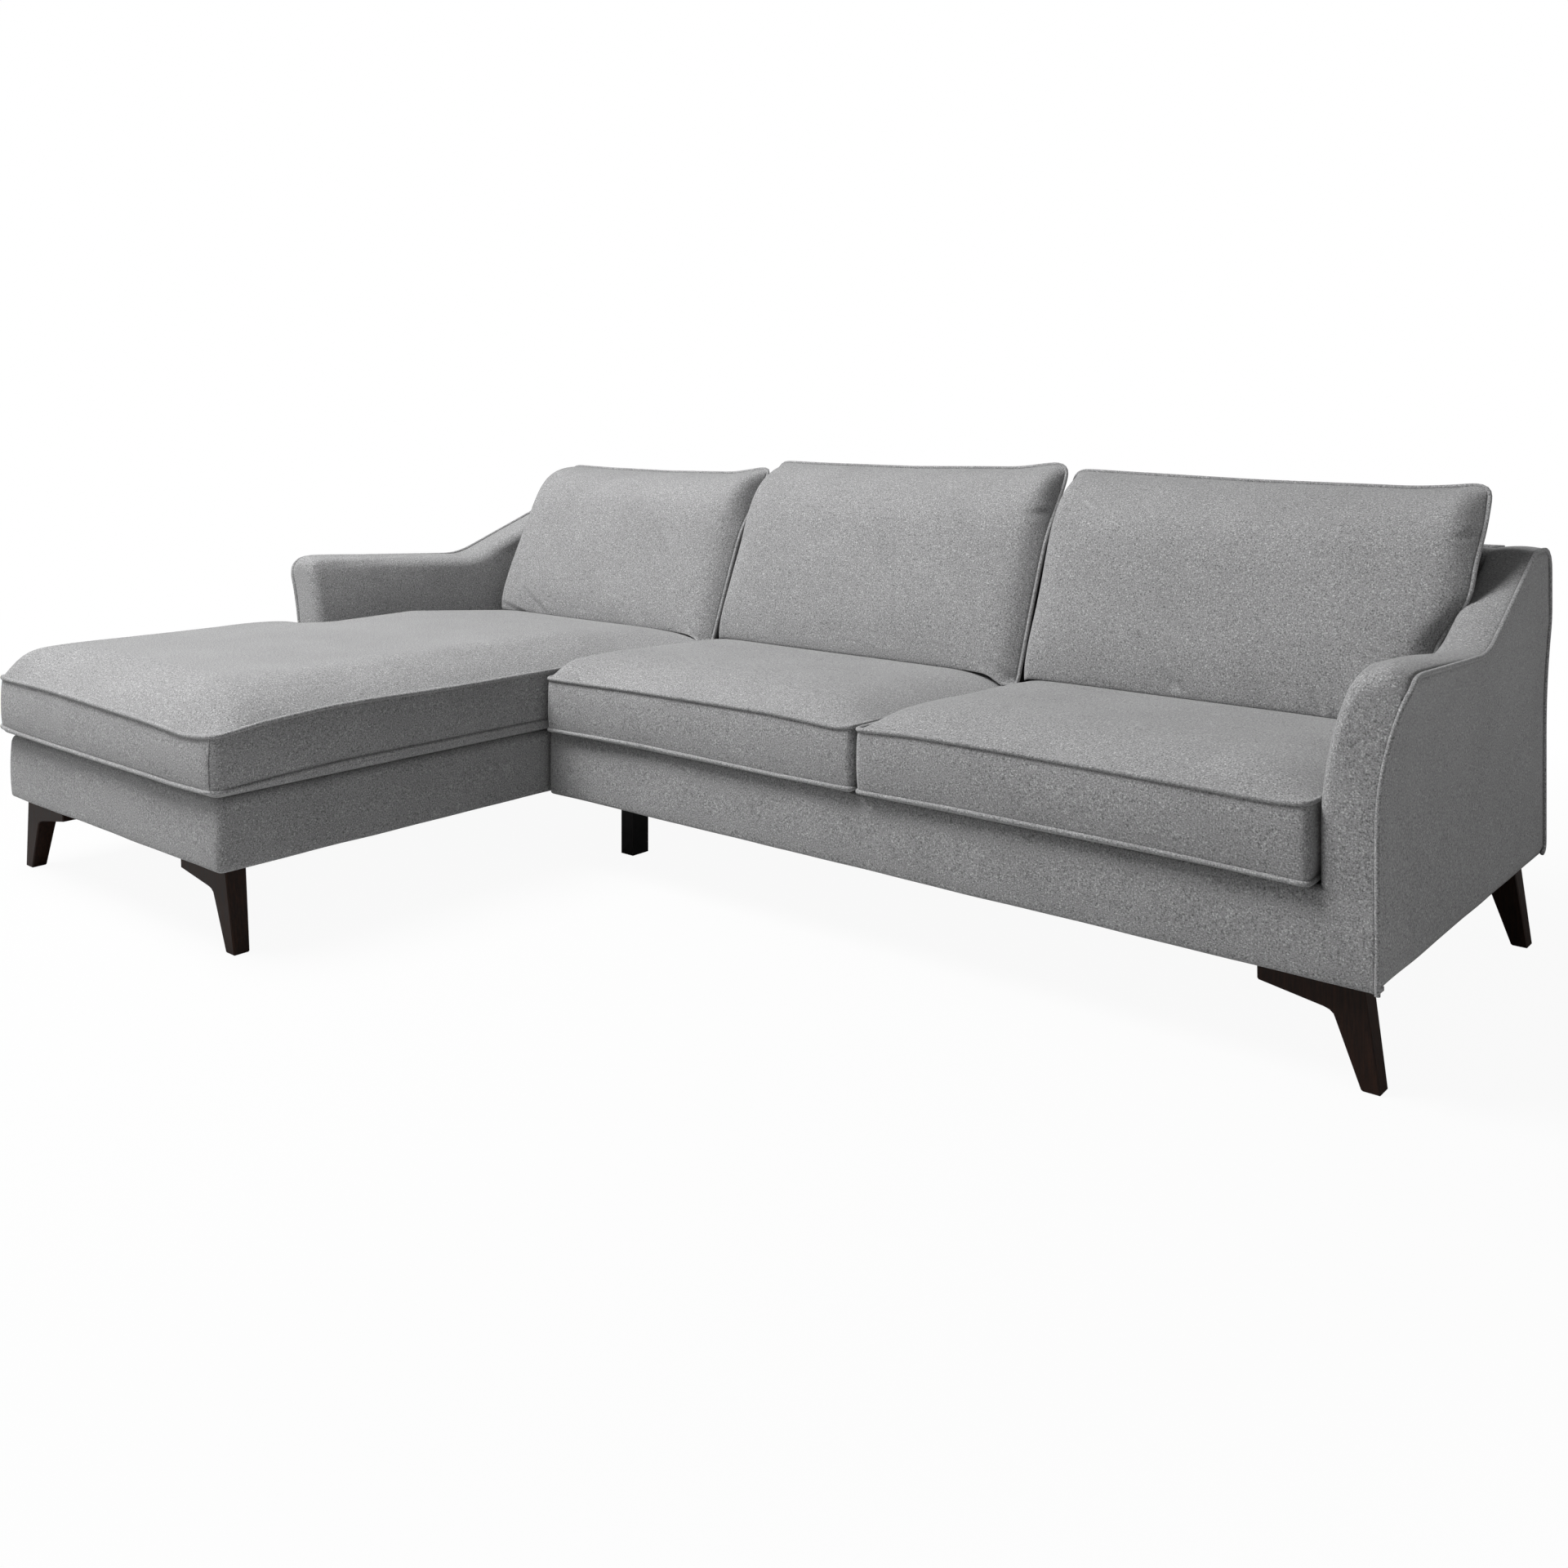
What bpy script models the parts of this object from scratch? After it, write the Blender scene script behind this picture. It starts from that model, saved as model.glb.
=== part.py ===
"""Corner sofa: a chaise module on the left and a two-seat module on the right.

Metres, +Z up. The sofa faces -Y and stands on z = 0, and +X is to the right of someone looking at its front.
The origin is on the floor under the middle of the whole sofa's bounding box.
"""

import math

import bmesh
import bpy
from mathutils import Matrix

# Plan of the two modules
CHAISE_WIDTH = 0.867
SOFA_WIDTH = 1.789
MODULE_GAP = 0.006
SEAT_DEPTH = 0.915
CHAISE_REACH = 0.7715
CUSHION_OVERHANG = 0.027

# Heights
LEG_HEIGHT = 0.160
BASE_HEIGHT = 0.130
SEAM_LOW = 0.306
SEAM_HIGH = 0.418
SEAT_TOP = 0.452
CHAISE_TOP = 0.477
SEAT_SHELF = 0.442
CHAISE_SHELF = 0.442
ARM_TOP = 0.617
ARM_FALL = 0.025

# Boards and coverings
PANEL_T = 0.010
RAIL_T = 0.024
RAIL_HEIGHT = 0.108
LOW_RAIL_HEIGHT = 0.075
DECK_T = 0.010
DUST_COVER_T = 0.0015
TOUCH = 0.0003
SKIN_GAP = 0.0008
CUSHION_CLEARANCE = 0.003

# Arms
ARM_T = 0.087
ARM_FLARE = 0.045
ARM_FLARE_REAR = 0.010
FLARE_LENGTH = 0.855
FLARE_START = 0.390
FLARE_RISE = 0.210
ARM_CORNER = 0.028
ARM_ROLL = 0.022
ARM_CROWN = 0.009
SWEEP_FOOT = 0.465
SWEEP_HEAD = 0.108
SWEEP_BLEND = 0.045
LEFT_ARM_REACH = 0.060
ARM_BOARD_T = 0.018
ARM_BOARD_DROP = 0.222
ARM_BOARD_REAR_DROP = 0.115
ARM_BOARD_SETBACK = 0.030

# Back
BACK_FOOT = 0.210
BACK_HEAD = 0.110
HEAD_HEIGHT = 0.700
HEAD_ROLL = 0.035
BACK_PAD_T = 0.042
TOP_RAIL_HEIGHT = 0.045
POST_T = 0.025

# Springs
SPRING_WIRE = 0.0036
SPRING_SWING = 0.024
SPRING_PITCH = 0.100
SPRING_ARCH = 0.006
CHAISE_SPRINGS = 4
SOFA_SPRINGS = 4

# Legs
LEG_TOP_T = 0.043
LEG_FOOT_T = 0.032
LEG_INSET = 0.026
LEG_REAR_INSET = 0.055
LEG_PLATE = 0.190
LEG_PLATE_DROP = 0.032
LEG_OUTER_TOP = 0.028
LEG_OUTER_FOOT = 0.005
LEG_INNER_FOOT = 0.034
LEG_KNEE = ((0.0703, 0.0960), (0.0735, 0.1040), (0.0795, 0.1090), (0.0880, 0.1117))
LEG_EASE = 0.002
SUPPORT_WIDTH = 0.037
SUPPORT_DEPTH = 0.048
SUPPORT_INSET = 0.060
SUPPORT_SETBACK = 0.165
JOINING_REACH = 0.050
JOINING_WIDTH = 0.040
JOINING_T = 0.003
JOINING_SETBACK = 0.110

# Loose cushions
EAR_GAP = 0.005
CORNER_DIP = 0.007
CORNER_CUT = 0.006
CROWN_REACH = 0.140
CROWN_REACH_REAR = 0.050
SHELF_REACH = 0.200
SLOPE_REACH = 0.550
CROWN_REACH_EAR = 0.065
CROWN_POWER = 2.4
SIDE_DRAW = 0.003
CORNER_SPREAD = 0.070
EDGE_SHARE = 0.400
NOTCH_ROW = 0.016
BACK_CUSHION_HEIGHTS = {"left": 0.421, "middle": 0.453, "right": 0.444}
BACK_CUSHION_LEAN = math.radians(22.0)
BACK_CUSHION_FOOT = 0.295
BACK_CUSHION_FRONT = 0.112
BACK_CUSHION_REAR = 0.074
BACK_CUSHION_RIM = 0.014
BACK_CUSHION_GAP = 0.010
BACK_CUSHION_TUCK = 0.100
BACK_CUSHION_SQUASH = 0.045
BACK_CUSHION_OVER_ARM = 0.040
BACK_CUSHION_REACH = 0.110
BACK_CUSHION_STEPS = (0.0, 0.018, 0.050)
BACK_CUSHION_SAG = 0.010
SPILL_START = 0.170
SPILL_RISE = 0.120
BACK_CUSHION_MIDDLE = 0.150
BACK_CUSHION_EDGE = 0.040

# Places that follow from the sizes
TOTAL_WIDTH = CHAISE_WIDTH + MODULE_GAP + SOFA_WIDTH
LEFT = -TOTAL_WIDTH / 2
CHAISE_RIGHT = LEFT + CHAISE_WIDTH
SOFA_LEFT = CHAISE_RIGHT + MODULE_GAP
RIGHT = TOTAL_WIDTH / 2
REAR = (SEAT_DEPTH + CHAISE_REACH + CUSHION_OVERHANG) / 2
FRONT = REAR - SEAT_DEPTH
CHAISE_FRONT = FRONT - CHAISE_REACH
BACK_TOP = HEAD_HEIGHT + HEAD_ROLL
SWEEP_START = SEAT_DEPTH - SWEEP_FOOT
SWEEP_END = SEAT_DEPTH - SWEEP_HEAD
SWEEP_SLOPE = (BACK_TOP - ARM_TOP + ARM_FALL) / (SWEEP_END - SWEEP_START)
ARM_SLOPE = ARM_FALL / SWEEP_START
BASE_LOW = LEG_HEIGHT
BASE_TOP = LEG_HEIGHT + BASE_HEIGHT
RAIL_LOW = BASE_LOW + TOUCH
RAIL_TOP = BASE_LOW + RAIL_HEIGHT
INNER_REAR = REAR - PANEL_T - TOUCH
LEFT_ARM_FRONT = FRONT - LEFT_ARM_REACH
SPRING_RAIL = REAR - BACK_FOOT + BACK_PAD_T - RAIL_T

PARTS = "corner_sofa"
CUTTERS = "corner_sofa_cutters"


def material(name, colour, roughness, metallic=0.0):
    made = bpy.data.materials.new(name)
    made.use_nodes = True
    shader = made.node_tree.nodes["Principled BSDF"]
    shader.inputs["Base Color"].default_value = (*colour, 1.0)
    shader.inputs["Roughness"].default_value = roughness
    shader.inputs["Metallic"].default_value = metallic
    made.diffuse_color = (*colour, 1.0)
    return made


def start_scene():
    for thing in list(bpy.data.objects):
        bpy.data.objects.remove(thing, do_unlink=True)
    for name in (PARTS, CUTTERS):
        bpy.context.scene.collection.children.link(bpy.data.collections.new(name))


def place(name, mesh, surface, at=(0.0, 0.0, 0.0), group=PARTS):
    """Links a mesh given in world coordinates as an object whose origin lies at a point."""
    mesh.transform(Matrix.Translation(at).inverted())
    thing = bpy.data.objects.new(name, mesh)
    thing.location = at
    if surface:
        mesh.materials.append(surface)
    bpy.data.collections[group].objects.link(thing)
    return thing


def mesh_of(build, name):
    """The finished mesh, with its faces turned outwards."""
    bmesh.ops.recalc_face_normals(build, faces=build.faces)
    if build.calc_volume(signed=True) < 0:
        bmesh.ops.reverse_faces(build, faces=build.faces)
    mesh = bpy.data.meshes.new(name)
    build.to_mesh(mesh)
    build.free()
    return mesh


def box(name, low, high, surface, round_edge=0.0):
    """A board or pad between two corners, with its edges rounded where round_edge is given."""
    build = bmesh.new()
    bmesh.ops.create_cube(build, size=1.0)
    size = [b - a for a, b in zip(low, high)]
    centre = [(a + b) / 2 for a, b in zip(low, high)]
    bmesh.ops.scale(build, vec=size, verts=build.verts)
    bmesh.ops.translate(build, vec=centre, verts=build.verts)
    thing = place(name, mesh_of(build, name), surface, centre)
    if round_edge:
        rounding = thing.modifiers.new("rounded edges", "BEVEL")
        rounding.width = round_edge
        rounding.segments = 2
        thing.data.shade_smooth()
        thing.data.set_sharp_from_angle(angle=math.radians(40))
    return thing


def plate(name, outline, plane, centre, thickness, surface, foot_thickness=None):
    """A flat outline cut from board: plane is YZ or XZ, and centre lies half way through the board.

    With foot_thickness the board thins evenly from the outline's top to z = 0.
    """
    curve = bpy.data.curves.new(name, "CURVE")
    curve.dimensions = "2D"
    curve.fill_mode = "BOTH"
    curve.extrude = thickness / 2
    spline = curve.splines.new("POLY")
    spline.points.add(len(outline) - 1)
    for point, (along, up) in zip(spline.points, outline):
        point.co = (along, up, 0.0, 1.0)
    spline.use_cyclic_u = True
    guide = bpy.data.objects.new(name + "_outline", curve)
    bpy.data.collections[PARTS].objects.link(guide)
    bpy.context.view_layer.update()
    evaluated = guide.evaluated_get(bpy.context.evaluated_depsgraph_get())
    mesh = bpy.data.meshes.new_from_object(evaluated)
    bpy.data.objects.remove(guide)
    bpy.data.curves.remove(curve)
    build = bmesh.new()
    build.from_mesh(mesh)
    bpy.data.meshes.remove(mesh)
    bmesh.ops.remove_doubles(build, verts=build.verts, dist=1e-5)
    top = max(up for _, up in outline)
    for vertex in build.verts:
        along, up, across = vertex.co
        if foot_thickness:
            across *= 1 + (foot_thickness / thickness - 1) * (1 - up / top)
        if plane == "YZ":
            vertex.co = (centre + across, along, up)
        else:
            vertex.co = (along, centre + across, up)
    middle = [sum(v.co[i] for v in build.verts) / len(build.verts) for i in range(3)]
    return place(name, mesh_of(build, name), surface, middle)


def loft(name, sections, surface):
    """A solid skin over equal closed loops of points, capped at both ends."""
    build = bmesh.new()
    rings = [[build.verts.new(point) for point in section] for section in sections]
    count = len(rings[0])
    for first, second in zip(rings, rings[1:]):
        for i in range(count):
            j = (i + 1) % count
            build.faces.new((first[i], first[j], second[j], second[i]))
    build.faces.new(rings[0])
    build.faces.new(reversed(rings[-1]))
    thing = place(name, mesh_of(build, name), surface)
    thing.data.shade_smooth()
    thing.data.set_sharp_from_angle(angle=math.radians(35))
    return thing


def cut(thing, cutter):
    cutter.hide_render = True
    cutter.display_type = "WIRE"
    pocket = thing.modifiers.new("pocket", "BOOLEAN")
    pocket.object = cutter
    pocket.operation = "DIFFERENCE"


def lerp(a, b, t):
    return a + (b - a) * t


def clamp01(t):
    return min(1.0, max(0.0, t))


# Arms

def arm_height(run):
    """Height of the arm's outer top edge, run metres behind the sofa's front.

    It falls a little to the foot of the sweep, bends up through a parabola and climbs straight to the back's top.
    """
    bend = max(0.0, run - SWEEP_START + SWEEP_BLEND)
    if run < SWEEP_START + SWEEP_BLEND:
        return ARM_TOP - ARM_SLOPE * run + (SWEEP_SLOPE + ARM_SLOPE) * bend ** 2 / (4 * SWEEP_BLEND)
    return min(BACK_TOP, ARM_TOP - ARM_FALL + SWEEP_SLOPE * (run - SWEEP_START))


def arm_flare(run, z):
    """How far the arm leans outwards at a height: most at its front, and less and less towards the back."""
    reach = lerp(ARM_FLARE, ARM_FLARE_REAR, clamp01(run / FLARE_LENGTH))
    return reach * clamp01((z - FLARE_START) / FLARE_RISE) ** 2


def corner(radius, depth):
    """Drop of a quarter round of this radius at a depth behind its front."""
    if depth >= radius:
        return 0.0
    return radius - math.sqrt(radius ** 2 - (radius - depth) ** 2)


def arm_stations(front):
    """Places along the arm where its section is drawn, as Y values: close together where it curves."""
    near = [front + ARM_CORNER * share for share in (0.0, 0.08, 0.28, 0.6, 1.0)]
    sweep = SWEEP_START - SWEEP_BLEND
    runs = [sweep * share for share in (0.18, 0.40, 0.70, 1.0)]
    runs += [sweep + 2 * SWEEP_BLEND * k / 3 for k in (1, 2, 3)]
    runs += [lerp(runs[-1], SWEEP_END, k / 3) for k in (1, 2, 3)]
    return near + [FRONT + run for run in runs] + [INNER_REAR]


def arm_levels(low, top):
    """Heights up one side of the arm: straight below the flare, and in even steps along it."""
    steps = 5
    return [low] + [lerp(FLARE_START, top, k / steps) for k in range(steps + 1)]


def arm_side_panel(name, edge, side, front, surface):
    """The outside panel, from the base's lower edge to the arm's top edge, bent outwards with the arm."""
    sections = []
    for y in arm_stations(front):
        run = y - FRONT
        top = arm_height(run) - corner(ARM_CORNER, y - front)
        levels = arm_levels(BASE_LOW, top)
        outer = [(edge + side * arm_flare(run, z), y, z) for z in levels]
        inner = [(x - side * PANEL_T, y, z) for x, y, z in reversed(outer)]
        sections.append(outer + inner)
    return loft(name, sections, surface)


def arm_pad(name, edge, side, front, surface, cutter):
    """The padded arm: flat front, crowned top and rolled inner edge, swept up into the back."""
    outside = PANEL_T + SKIN_GAP
    sections = []
    for y in arm_stations(front):
        run = y - FRONT
        drop = corner(ARM_CORNER, y - front)
        inside = ARM_T - corner(ARM_ROLL, y - front)
        top = arm_height(run) - drop
        width = inside - outside
        rounded = ARM_ROLL * (1 - 0.5 * corner(ARM_ROLL, y - front) / ARM_ROLL)
        over = [
            (outside + width * share, top + ARM_CROWN * 4 * share * (1 - share) - rounded * sink)
            for share, sink in ((0.0, 0.0), (0.25, 0.0), (0.5, 0.0), (0.75, 0.0), (0.93, 0.35), (1.0, 1.2))
        ]
        low = BASE_TOP + TOUCH
        outer = [(outside, z) for z in arm_levels(low, top)[:-1]]
        inner = [(inside, z) for z in arm_levels(low, over[-1][1])[:-1]]
        loop = outer + over + inner[::-1]
        sections.append([(edge + side * (arm_flare(run, z) - inset), y, z) for inset, z in loop])
    pad = loft(name, sections, surface)
    cut(pad, cutter)
    return pad


def arm_board_outline(front, grow=0.0):
    """Outline of the board inside the arm; grow widens it into the pocket that it sits in."""
    low = RAIL_TOP + TOUCH - grow * 10
    top, rear_top = ARM_TOP - ARM_BOARD_DROP + grow, BACK_TOP - ARM_BOARD_REAR_DROP + grow
    return [
        (front + ARM_BOARD_SETBACK - grow, low),
        (INNER_REAR - ARM_BOARD_SETBACK / 2 + grow, low),
        (INNER_REAR - ARM_BOARD_SETBACK / 2 + grow, rear_top),
        (FRONT + SWEEP_END, rear_top),
        (FRONT + SWEEP_START + SWEEP_BLEND, top),
        (front + ARM_BOARD_SETBACK - grow, top),
    ]


def arm(prefix, edge, side, front, fabric, timber):
    board_centre = edge - side * (PANEL_T + TOUCH + ARM_BOARD_T / 2)
    plate(prefix + "_frame", arm_board_outline(front), "YZ", board_centre, ARM_BOARD_T, timber)
    pocket_t = ARM_BOARD_T + 2 * PANEL_T
    pocket_centre = edge - side * (2 * TOUCH + PANEL_T + ARM_BOARD_T - pocket_t / 2)
    cutter = plate(
        prefix + "_pocket", arm_board_outline(front, TOUCH), "YZ", pocket_centre, pocket_t, None
    )
    bpy.data.collections[PARTS].objects.unlink(cutter)
    bpy.data.collections[CUTTERS].objects.link(cutter)
    arm_pad(prefix + "_pad", edge, side, front, fabric, cutter)
    arm_side_panel(prefix + "_side_panel", edge, side, front, fabric)


# Back

def inside_back(z):
    """Y of the back's padded front face at a height."""
    share = (z - BASE_TOP) / (HEAD_HEIGHT - BASE_TOP)
    return REAR - lerp(BACK_FOOT, BACK_HEAD, share)


def back_pad(name, left, right, fabric):
    """Foam and fabric that lean up the front of the back and roll over its top rail."""
    low = BASE_TOP + TOUCH
    face = [(inside_back(z), z) for z in (low, lerp(low, HEAD_HEIGHT, 0.5), HEAD_HEIGHT)]
    head = inside_back(HEAD_HEIGHT)
    over = [
        (head + HEAD_ROLL * (1 - math.cos(turn)), HEAD_HEIGHT + HEAD_ROLL * math.sin(turn))
        for turn in (math.pi / 6, math.pi / 3, math.pi / 2)
    ]
    under = [
        (INNER_REAR, BACK_TOP),
        (INNER_REAR, HEAD_HEIGHT + TOUCH),
        (head + BACK_PAD_T, HEAD_HEIGHT + TOUCH),
        (inside_back(low) + BACK_PAD_T, low),
    ]
    outline = face + over + under
    return plate(name, outline, "YZ", (left + right) / 2, right - left, fabric)


def back_post(name, left, timber):
    """Upright that follows the slope of the back pad and carries the top rail."""
    top = HEAD_HEIGHT - TOP_RAIL_HEIGHT - TOUCH
    slope_foot = inside_back(BASE_TOP) + BACK_PAD_T + TOUCH * 2
    outline = [
        (slope_foot, RAIL_TOP + TOUCH),
        (INNER_REAR - TOUCH, RAIL_TOP + TOUCH),
        (INNER_REAR - TOUCH, top),
        (inside_back(top) + BACK_PAD_T + TOUCH * 2, top),
        (slope_foot, BASE_TOP),
    ]
    return plate(name, outline, "YZ", left + POST_T / 2, POST_T, timber)


def outside_back(name, left, right, flare_side, fabric):
    """Flat panel behind the module, a little wider at the top where the arm still flares."""
    flare_end = FLARE_START + FLARE_RISE
    spread_out = flare_side * arm_flare(INNER_REAR - FRONT, flare_end)
    outer = right if flare_side > 0 else left
    inner = left if flare_side > 0 else right
    outline = [(outer, BASE_LOW), (outer, FLARE_START)]
    outline += [(outer + spread_out, flare_end), (outer + spread_out, BACK_TOP)]
    outline += [(inner, BACK_TOP), (inner, BASE_LOW)]
    return plate(name, outline, "XZ", REAR - PANEL_T / 2, PANEL_T, fabric)


# Springs

def spring(name, start, end, across, steel):
    """Sinuous spring: flat S bends of wire from rail to rail, arched a little upwards."""
    length = math.dist(start, end)
    bends = round((length - SPRING_PITCH) / SPRING_PITCH)
    samples = 6
    lead = (length - bends * SPRING_PITCH) / 2
    points = [(0.0, 0.0)]
    for k in range(bends * samples + 1):
        turn = 2 * math.pi * k / samples
        along = lead + SPRING_PITCH * k / samples + 0.1 * SPRING_PITCH * math.sin(2 * turn)
        points.append((along, SPRING_SWING * math.sin(turn)))
    points.append((length, 0.0))
    curve = bpy.data.curves.new(name, "CURVE")
    curve.dimensions = "3D"
    curve.bevel_depth = SPRING_WIRE / 2
    curve.bevel_resolution = 0
    curve.use_fill_caps = True
    spline = curve.splines.new("POLY")
    spline.points.add(len(points) - 1)
    for point, (along, swing) in zip(spline.points, points):
        share = along / length
        rise = SPRING_ARCH * math.sin(math.pi * share)
        place_on = [lerp(a, b, share) + swing * side for a, b, side in zip(start, end, across)]
        point.co = (place_on[0], place_on[1], place_on[2] + rise, 1.0)
    thing = bpy.data.objects.new(name, curve)
    curve.materials.append(steel)
    bpy.data.collections[PARTS].objects.link(thing)
    return thing


# Legs

def corner_leg(name, edge, side, centre_y, wood):
    """Boomerang leg: a plate screwed flat under the frame, bent down to a slim raked foot.

    Its outline is given as distances in from the side of the module.
    """
    top = LEG_HEIGHT - TOUCH
    insets = [(LEG_OUTER_TOP, top), (LEG_OUTER_FOOT, 0.0), (LEG_INNER_FOOT, 0.0), *LEG_KNEE]
    insets += [(LEG_PLATE, LEG_HEIGHT - LEG_PLATE_DROP), (LEG_PLATE, top)]
    outline = [(edge - side * inset, z) for inset, z in insets]
    leg = plate(name, outline, "XZ", centre_y, LEG_TOP_T, wood, LEG_FOOT_T)
    rounding = leg.modifiers.new("eased edges", "BEVEL")
    rounding.width = LEG_EASE
    rounding.segments = 1
    return leg


def support_leg(name, left, front, dark):
    high = (left + SUPPORT_WIDTH, front + SUPPORT_DEPTH, LEG_HEIGHT - TOUCH)
    return box(name, (left, front, 0.0), high, dark)


# Loose cushions

def spread(low, high, count):
    return [lerp(low, high, k / count) for k in range(count + 1)]


def cushion(name, xs, ys, shape, surface, at, hole=None):
    """A soft block: a coarse plan of cells, thickened, shaped point by point and subdivided.

    shape(x, y, upper) gives each cage point; hole(x, y) is true for the cells that are left out.
    The two seam lines keep their crease, and the rest is smooth.
    """
    build = bmesh.new()
    bmesh.ops.create_grid(build, x_segments=len(xs) - 1, y_segments=len(ys) - 1, size=0.5)
    for vertex in build.verts:
        i = round((vertex.co.x + 0.5) * (len(xs) - 1))
        j = round((vertex.co.y + 0.5) * (len(ys) - 1))
        vertex.co = (xs[i], ys[j], 0.0)
    if hole:
        empty = [f for f in build.faces if hole(f.calc_center_median().x, f.calc_center_median().y)]
        bmesh.ops.delete(build, geom=empty, context="FACES")
    lower = list(build.faces)
    upper = bmesh.ops.extrude_face_region(build, geom=lower)
    raised = [item for item in upper["geom"] if isinstance(item, bmesh.types.BMVert)]
    bmesh.ops.translate(build, vec=(0.0, 0.0, 1.0), verts=raised)
    crease = build.edges.layers.float.new("crease_edge")
    for edge in build.edges:
        sides = [abs(face.calc_center_median().z - 0.5) < 0.4 for face in edge.link_faces]
        if sides.count(True) == 1:
            edge[crease] = 1.0
    for vertex in build.verts:
        vertex.co = shape(vertex.co.x, vertex.co.y, vertex.co.z > 0.5)
    thing = place(name, mesh_of(build, name), surface, at)
    soft = thing.modifiers.new("soft", "SUBSURF")
    soft.levels = 1
    soft.render_levels = 1
    thing.data.shade_smooth()
    return thing


def seat_level(y, rear, top, shelf):
    """Height of a seat's crown: level, then a straight fall to the rear edge.

    The fall starts SLOPE_REACH from the rear and is down to shelf where the back cushion's foot begins.
    """
    return top - (top - shelf) * max(0.0, y - rear + SLOPE_REACH) / (SLOPE_REACH - SHELF_REACH)


def seat_shape(left, right, front, rear, top, shelf, notch=None):
    """Shape of a seat cushion: crowned top, slack underside, rounded corners and drawn-in sides."""
    belly = SEAM_LOW - BASE_TOP - TOUCH
    side_reach = CROWN_REACH_EAR if notch else CROWN_REACH

    def edge_distances(x, y):
        before_arm = notch and y < notch[1]
        west = x - left if before_arm or not notch else x - notch[0]
        south = y - front
        if before_arm and x < notch[0]:
            return west, right - x, south, notch[1] - y, CROWN_REACH_EAR
        return west, right - x, south, rear - y, CROWN_REACH_REAR

    def shape(x, y, upper):
        west, east, south, north, rear_reach = edge_distances(x, y)
        rise = 1.0
        for distance, reach in ((west, side_reach), (east, CROWN_REACH), (south, CROWN_REACH)):
            rise *= 1 - (1 - clamp01(distance / reach)) ** CROWN_POWER
        rise *= 1 - (1 - clamp01(north / rear_reach)) ** CROWN_POWER
        dip = CORNER_DIP * math.prod(
            math.exp(-min(pair) / CORNER_SPREAD) for pair in ((west, east), (south, north))
        )
        draw = SIDE_DRAW * math.sin(math.pi * clamp01(south / (south + north)))
        px = x + (draw if west < 1e-6 else -draw if east < 1e-6 else 0.0)
        at_corner = min(west, east) < 1e-6 and min(south, north) < 1e-6
        py = y
        if at_corner:
            px += math.copysign(CORNER_CUT, east - west)
            py += math.copysign(CORNER_CUT, north - south)
        if upper:
            crown = seat_level(y, rear, top, shelf) - SEAM_HIGH
            return (px, py, SEAM_HIGH - dip + crown * rise)
        return (px, py, SEAM_LOW - belly * min(1.0, 2 * rise))

    return shape


def rear_rows(rear):
    """The last rows of a seat cushion, where it stays full under the back cushion."""
    return [rear - SHELF_REACH, rear - CROWN_REACH, rear - CROWN_REACH_REAR, rear - CROWN_REACH_REAR * EDGE_SHARE, rear]


def seat_cushion(name, left, right, fabric):
    front, rear = FRONT - CUSHION_OVERHANG, inside_back(BASE_TOP) - CUSHION_CLEARANCE
    edge = CROWN_REACH * EDGE_SHARE
    xs = [left, left + edge] + spread(left + CROWN_REACH, right - CROWN_REACH, 3) + [right - edge, right]
    ys = [front, front + edge] + spread(front + CROWN_REACH, rear - SLOPE_REACH, 1) + rear_rows(rear)
    shape = seat_shape(left, right, front, rear, SEAT_TOP, SEAT_SHELF)
    return cushion(name, xs, ys, shape, fabric, ((left + right) / 2, front, SEAM_LOW))


def chaise_cushion(name, fabric):
    """The L-shaped one: its ear fills the corner in front of the arm."""
    left, right = LEFT - CUSHION_OVERHANG, CHAISE_RIGHT + CUSHION_OVERHANG / 2
    front, rear = CHAISE_FRONT - CUSHION_OVERHANG, inside_back(BASE_TOP) - CUSHION_CLEARANCE
    notch_x, notch_y = LEFT + ARM_T + CUSHION_CLEARANCE, LEFT_ARM_FRONT - EAR_GAP
    edge = CROWN_REACH * EDGE_SHARE
    xs = [left, left + CROWN_REACH_EAR / 2, notch_x - NOTCH_ROW, notch_x, notch_x + edge]
    xs += spread(notch_x + CROWN_REACH, right - CROWN_REACH, 2) + [right - edge, right]
    ys = [front, front + edge] + spread(front + CROWN_REACH, notch_y - CROWN_REACH, 2)
    ys += [notch_y - edge, notch_y, notch_y + NOTCH_ROW]
    ys += spread(notch_y + CROWN_REACH, rear - SLOPE_REACH, 1) + rear_rows(rear)
    shape = seat_shape(left, right, front, rear, CHAISE_TOP, CHAISE_SHELF, (notch_x, notch_y))
    middle = ((left + right) / 2, front, SEAM_LOW)
    return cushion(name, xs, ys, shape, fabric, middle, lambda x, y: x < notch_x and y > notch_y)


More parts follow.
